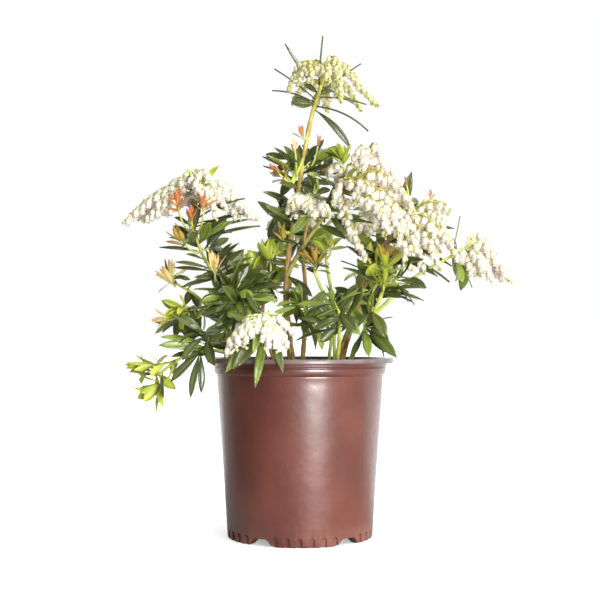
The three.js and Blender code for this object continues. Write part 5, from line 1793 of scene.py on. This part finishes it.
bell = dict(
    sides=7,
    # radius and height from the shoulder down to the mouth and a little way in
    profile=[
        (1.1, 0), (2.7, -0.8), (3.45, -2.6), (3.4, -4.9), (2.7, -6.9), (2.0, -7.7), (3.2, -8.8), (1.5, -7.8),
    ],
    size=(1.02, 1.24),
    perRaceme=18,
    # the length that carries this many, and the fewest that any raceme has
    racemeLength=72,
    fewest=7,
    buds=2,
    budOpen=0.12,
    # the emission's tint and strength are painted light, lifting the bells' shade
    look=dict(
        petal="e6dedb", mouth="e2d6c4", shoulder="d6ce92", bud="bfc26c",
        roughness=0.46, glow=0.34, paintedGlowTint="fff0e0", paintedGlow=0.07,
    ),
    # from these places on, the heads in the middle and to the right get darker petals, painted shade against
    # the stronger light there, and more painted glow
    middleFrom=5,
    rightFrom=105,
    sunSideShade=dict(petal="d8d0cb", glow=0.38, paintedGlow=0.09),
)
# heads still young keep the warmer calyces and stalks
warmHeads = ("top_spray", "right_blossom_head", "right_outer_blossom")
warm = dict(calyx=dict(dark="9e9a3a", light="c6be5c"), stalk=dict(dark="a09a3c", light="c2b85a"))
pale = dict(calyx=dict(dark="ccd2a2", light="e6e9cc"), stalk=dict(dark="c4ca98", light="dfe2c0"))
# heads whose bells are still small and green at the shoulder
grownHead = dict(size=1, green=0, count=1)
youngHeads = {
    "top_spray": dict(size=0.72, green=0.55, count=1.6),
    "right_blossom_head": dict(size=1, green=0.1, count=1),
}


def withHeightMap(cut, low, high):
    # the shape's own map: y runs from its lower end to its upper one
    heights = (cut["points"][:, 2] - low) / (high - low)
    cut["uvSets"] = [np.stack([np.zeros(faces.size), heights[faces.ravel()]], 1) for faces in cut["faceSets"]]
    return cut


def modelBell():
    _, mouth = bell["profile"][-2]
    return withHeightMap(cutFrom(pullAlongProfile(bell["profile"], bell["sides"])), mouth, 0)


def modelCalyx():
    # five sepals as a shallow star cap over the bell's shoulder
    place = (0, 0, -0.2)
    piece = addPrimitive("cone", vertices=10, radius1=3.0, radius2=0.6, depth=1.8, location=place)
    for vertex in piece.data.vertices:
        if vertex.co.z < -0.5:
            turn = math.degrees(math.atan2(vertex.co.y, vertex.co.x)) % 72
            widen, lift = (0.62, 0.35) if 18 < turn < 54 else (1.12, -0.5)
            vertex.co.x *= widen
            vertex.co.y *= widen
            vertex.co.z += lift
    return withHeightMap(cutFrom(piece), -1.5, 0.6)


def modelBud():
    piece = addPrimitive("uv_sphere", segments=6, ring_count=5, radius=1.6, location=(0, 0, -1.8))
    selectVertices(piece.data, lambda co: co.z < -2)
    resizeSelected(piece, (0.8, 0.8, 1.45), (0, 0, -1.9))
    return withHeightMap(cutFrom(piece), -3.9, -0.2)


def measured(curve, bare):
    # the same line dealt out by its length, with that length and where its bells begin
    ts = np.linspace(0, 1, 49)
    line = np.array([curve(t) for t in ts])
    run = np.concatenate([[0], np.cumsum(np.linalg.norm(np.diff(line, axis=0), axis=1))])
    even = lambda share: np.array([np.interp(share * run[-1], run, line[:, k]) for k in range(3)])
    return even, run[-1], np.interp(bare, ts, run) / run[-1]


def hangBell(curve, t, share, turn, spiral, young, isBud, draw):
    # one bell and the three points of its own small stalk
    at = curve(t)
    tangent = tangentOf(curve, min(t, 0.999))
    side = np.cross(tangent, [0, 0, 1.0])
    upright = np.array([math.cos(spiral), math.sin(spiral), 0])
    side = unit(side) if np.linalg.norm(side) > 0.15 else upright
    over = np.cross(side, tangent)
    lift = math.sin(turn)
    out = side * math.cos(turn) + over * lift * (0.16 if lift > 0 else 0.6)
    reach = mix(4.2, 1.8, share) * mix(0.8, 1.2, draw())
    fall = mix(1.6, 0.6, share) * mix(0.4, 1.5, draw())
    top = at + out * reach + np.array([0, 0, -fall])
    down = unit(np.array([0, 0, -1.0]) + out * mix(0.15, 0.7, draw()) + tangent * mix(-0.1, 0.45, draw()))
    size = mix(*bell["size"], draw()) * mix(1.05, 0.78, max(0, (share - 0.5) / 0.5)) * young["size"]
    ripe = mix(0.95, 0.5, max(0, (share - 0.7) / 0.3)) + 0.1 * draw() - young["green"]
    shape = dict(top=top, down=down, size=size, bud=isBud, turn=draw() * 6.28,
                 open=bell["budOpen"] if isBud else ripe)
    return shape, [at, at + out * reach * 0.7 + np.array([0, 0, 0.4]), top - down * 0.3]


def hangBells():
    draw = seededDraws(77)
    hung, stalks, pedicels = [], [], []
    for raceme in keptRacemes:
        name = raceme["mass"]
        curve, length, first = measured(raceme["curve"], raceme["bare"])
        stalks.append((alongCurve(curve, 12), np.linspace(1.4, 0.6, 12), name))
        young = youngHeads.get(name, grownHead)
        count = int(bell["perRaceme"] * young["count"] * length * (1 - first) / bell["racemeLength"])
        count = max(bell["fewest"], count)
        spiral = draw() * 2 * math.pi
        for k in range(count):
            share, turn, isBud = (k + 0.6) / count, spiral + k * 2.4, k >= count - bell["buds"]
            shape, line = hangBell(curve, mix(first, 1, share), share, turn, spiral, young, isBud, draw)
            hung.append(dict(shape, mass=name))
            pedicels.append((line, [0.42, 0.38, 0.45], name))
    return hung, stalks, pedicels


def hangShapes(name, cut, shapes, kept=()):
    # copies of one flower shape, each hung by its top along its own axis
    gather = lambda key: np.array([shape[key] for shape in shapes])
    down, top = gather("down"), gather("top")[:, None]
    side = unit(np.cross(down, np.where(np.abs(down[:, :1]) > 0.9, [0.0, 1.0, 0.0], [1.0, 0.0, 0.0])))
    other = np.cross(side, down)
    turn = gather("turn")[:, None]
    a = side * np.cos(turn) + other * np.sin(turn)
    b = np.cross(-down, a)
    x, y, z = (cut["points"][None, :, k, None] for k in range(3))
    points = top + gather("size")[:, None, None] * (x * a[:, None] + y * b[:, None] - z * down[:, None])
    return dealOut(name, cut, points, {key: gather(key) for key in kept})


def makeFlowers():
    hung, stalks, pedicels = hangBells()
    bellCut, calyxCut, budCut = modelBell(), modelCalyx(), modelBud()
    petals = bellMaterial("bellPetals", bell["look"])
    sunSidePetals = bellMaterial("sunSidePetals", dict(bell["look"], **bell["sunSideShade"]))
    opened = [h for h in hung if not h["bud"]]
    closed = [h for h in hung if h["bud"]]
    middle, right, end = bell["middleFrom"], bell["rightFrom"], math.inf
    for label, low, high in (("Left", -end, middle), ("Middle", middle, right), ("Right", right, end)):
        shapes = [h for h in opened if low <= h["top"][0] < high]
        piece = hangShapes("bells" + label, bellCut, shapes, ["open"])
        smoothByAngle(piece, 70)
        # the left heads, in the dimmer light, keep the lighter petals; the others get the darker ones,
        # painted shade
        material = petals if label == "Left" else sunSidePetals
        finishPiece(piece, [material], sorted({h["mass"] for h in shapes}))
    finishPiece(hangShapes("flowerBuds", budCut, closed, ["open"]), [petals])
    for label, look in (("", warm), ("Pale", pale)):
        isMine = lambda mass: (mass in warmHeads) == (look is warm)
        piece = hangShapes("calyces" + label, calyxCut, [h for h in hung if isMine(h["mass"])])
        finishPiece(piece, [plainGrain("calyx" + label, look["calyx"], 0.55)])
        stalk = plainGrain("flowerStalk" + label, look["stalk"], 0.55)
        for name, found, sides in (("flowerStalks", stalks, 6), ("pedicels", pedicels, 4)):
            lines, radii = zip(*((line, widths) for line, widths, mass in found if isMine(mass)))
            finishPiece(sweepTubes(name + label, lines, radii, sides), [stalk])
    print("flowers made:", len(opened), "bells,", len(closed), "buds")


makeFlowers()


# Stage: a pale floor, soft light, and the camera.

stage = dict(
    floor="fcfcfb", floorBounce="9a9894", leftBounce="4c4a48", floorGlow=0.4, floorSize=200,
    # the sun's azimuth to the right of the camera, and its elevation
    sunFrom=(48, 42), sunPower=2.5, sunSoftness=24,
    stripAt=(0.46, -1.2, 0.16), stripAim=(0, 0, 0.14), stripSize=(0.5, 0.3), stripPower=15,
    sky=0.71, behind=0.75, backdrop=1.0,
    dimSide=(-0.99, 0.12, 0.0), dimShare=0.9, glowSide=(-0.34, 0.94, 0.0),
    focal=68.7, film=36, pitch=1.83, near=0.05, far=60,
)
white = (1, 1, 1, 1)


def addLight(name, light, at, target):
    lamp = addToScene(name, light)
    lamp.location = at
    lamp.rotation_euler = (Vector(target) - Vector(at)).to_track_quat("-Z", "Y").to_euler()


def floorMaterial():
    # the camera sees it white, and the plant gets less light back from some sides of it
    material, tree, shader, place = newMaterial("paleFloor")
    blotch = blotches(tree, place, 2.0, 0.4)
    body = mixColours(tree, blotch["Mask"], colour(stage["floor"]), white)
    seen = addNode(tree, "ShaderNodeLightPath").outputs["Is Camera Ray"]
    ground = splitAxes(tree, place["Object"])
    toLeft = calculate(tree, "MINIMUM", ground["X"], 0.0)
    toBack = calculate(tree, "MAXIMUM", ground["Y"], 0.0)
    leftward = add(tree, toLeft, multiply(tree, toBack, 1.8))
    away = add(tree, ground["Y"], multiply(tree, toLeft, 0.9))
    bounce = mixColours(tree, spread(tree, away, -0.02, 0.4), colour(stage["floorBounce"]), white)
    bounce = layOver(tree, bounce, spread(tree, leftward, -0.5, -0.1, 1.0, 0.0), stage["leftBounce"])
    feed(tree, shader, {
        "Base Color": mixColours(tree, seen, bounce, body), "Roughness": 0.8,
        "Emission Color": white, "Emission Strength": multiply(tree, seen, stage["floorGlow"]),
    })
    return material


def makeFloor():
    floor = addPrimitive("plane", size=stage["floorSize"])
    floor.name = "paleFloor"
    inEditMode(floor, lambda: bpy.ops.mesh.subdivide(number_cuts=11))
    floor.data.materials.append(floorMaterial())


def makeLights():
    sun = bpy.data.lights.new("sunLight", "SUN")
    sun.energy, sun.angle = stage["sunPower"], math.radians(stage["sunSoftness"])
    addLight("sunLight", sun, heading(*stage["sunFrom"]) * 3, (0, 0, 0))
    strip = bpy.data.lights.new("stripLight", "AREA")
    strip.shape = "RECTANGLE"
    strip.size, strip.size_y = stage["stripSize"]
    strip.energy = stage["stripPower"]
    addLight("stripLight", strip, stage["stripAt"], stage["stripAim"])


def makeRoom():
    # even light that dims to one side and glows behind, before a plain backdrop
    world = bpy.data.worlds.new("softRoom")
    bpy.context.scene.world = world
    world.use_nodes = True
    tree = world.node_tree
    direction = addNode(tree, "ShaderNodeTexCoord").outputs["Generated"]
    dim, behind = (
        vectorMath(tree, "DOT_PRODUCT", direction, stage[side])["Value"] for side in ("dimSide", "glowSide")
    )
    shade = spread(tree, dim, 0.1, 0.95, stage["sky"], stage["sky"] * (1 - stage["dimShare"]))
    shade = add(tree, shade, spread(tree, behind, 0.05, 0.85, 0.0, stage["behind"]))
    seen = addNode(tree, "ShaderNodeLightPath").outputs["Is Camera Ray"]
    strength = addNode(tree, "ShaderNodeMix", {0: seen, 2: shade, 3: stage["backdrop"]}).outputs[0]
    feed(tree, tree.nodes["Background"].inputs, {"Color": white, "Strength": strength})


def makeCamera():
    lens = bpy.data.cameras.new("camera")
    lens.lens, lens.sensor_width = stage["focal"], stage["film"]
    lens.clip_start, lens.clip_end = stage["near"], stage["far"]
    camera = addToScene("camera", lens)
    camera.location = (0, -eye["distance"] * mm, eye["height"] * mm)
    camera.rotation_euler = (math.radians(90 + stage["pitch"]), 0, 0)
    bpy.context.scene.camera = camera
    bpy.context.scene.view_settings.view_transform = "Standard"


makeFloor()
makeLights()
makeRoom()
makeCamera()
print("stage set")
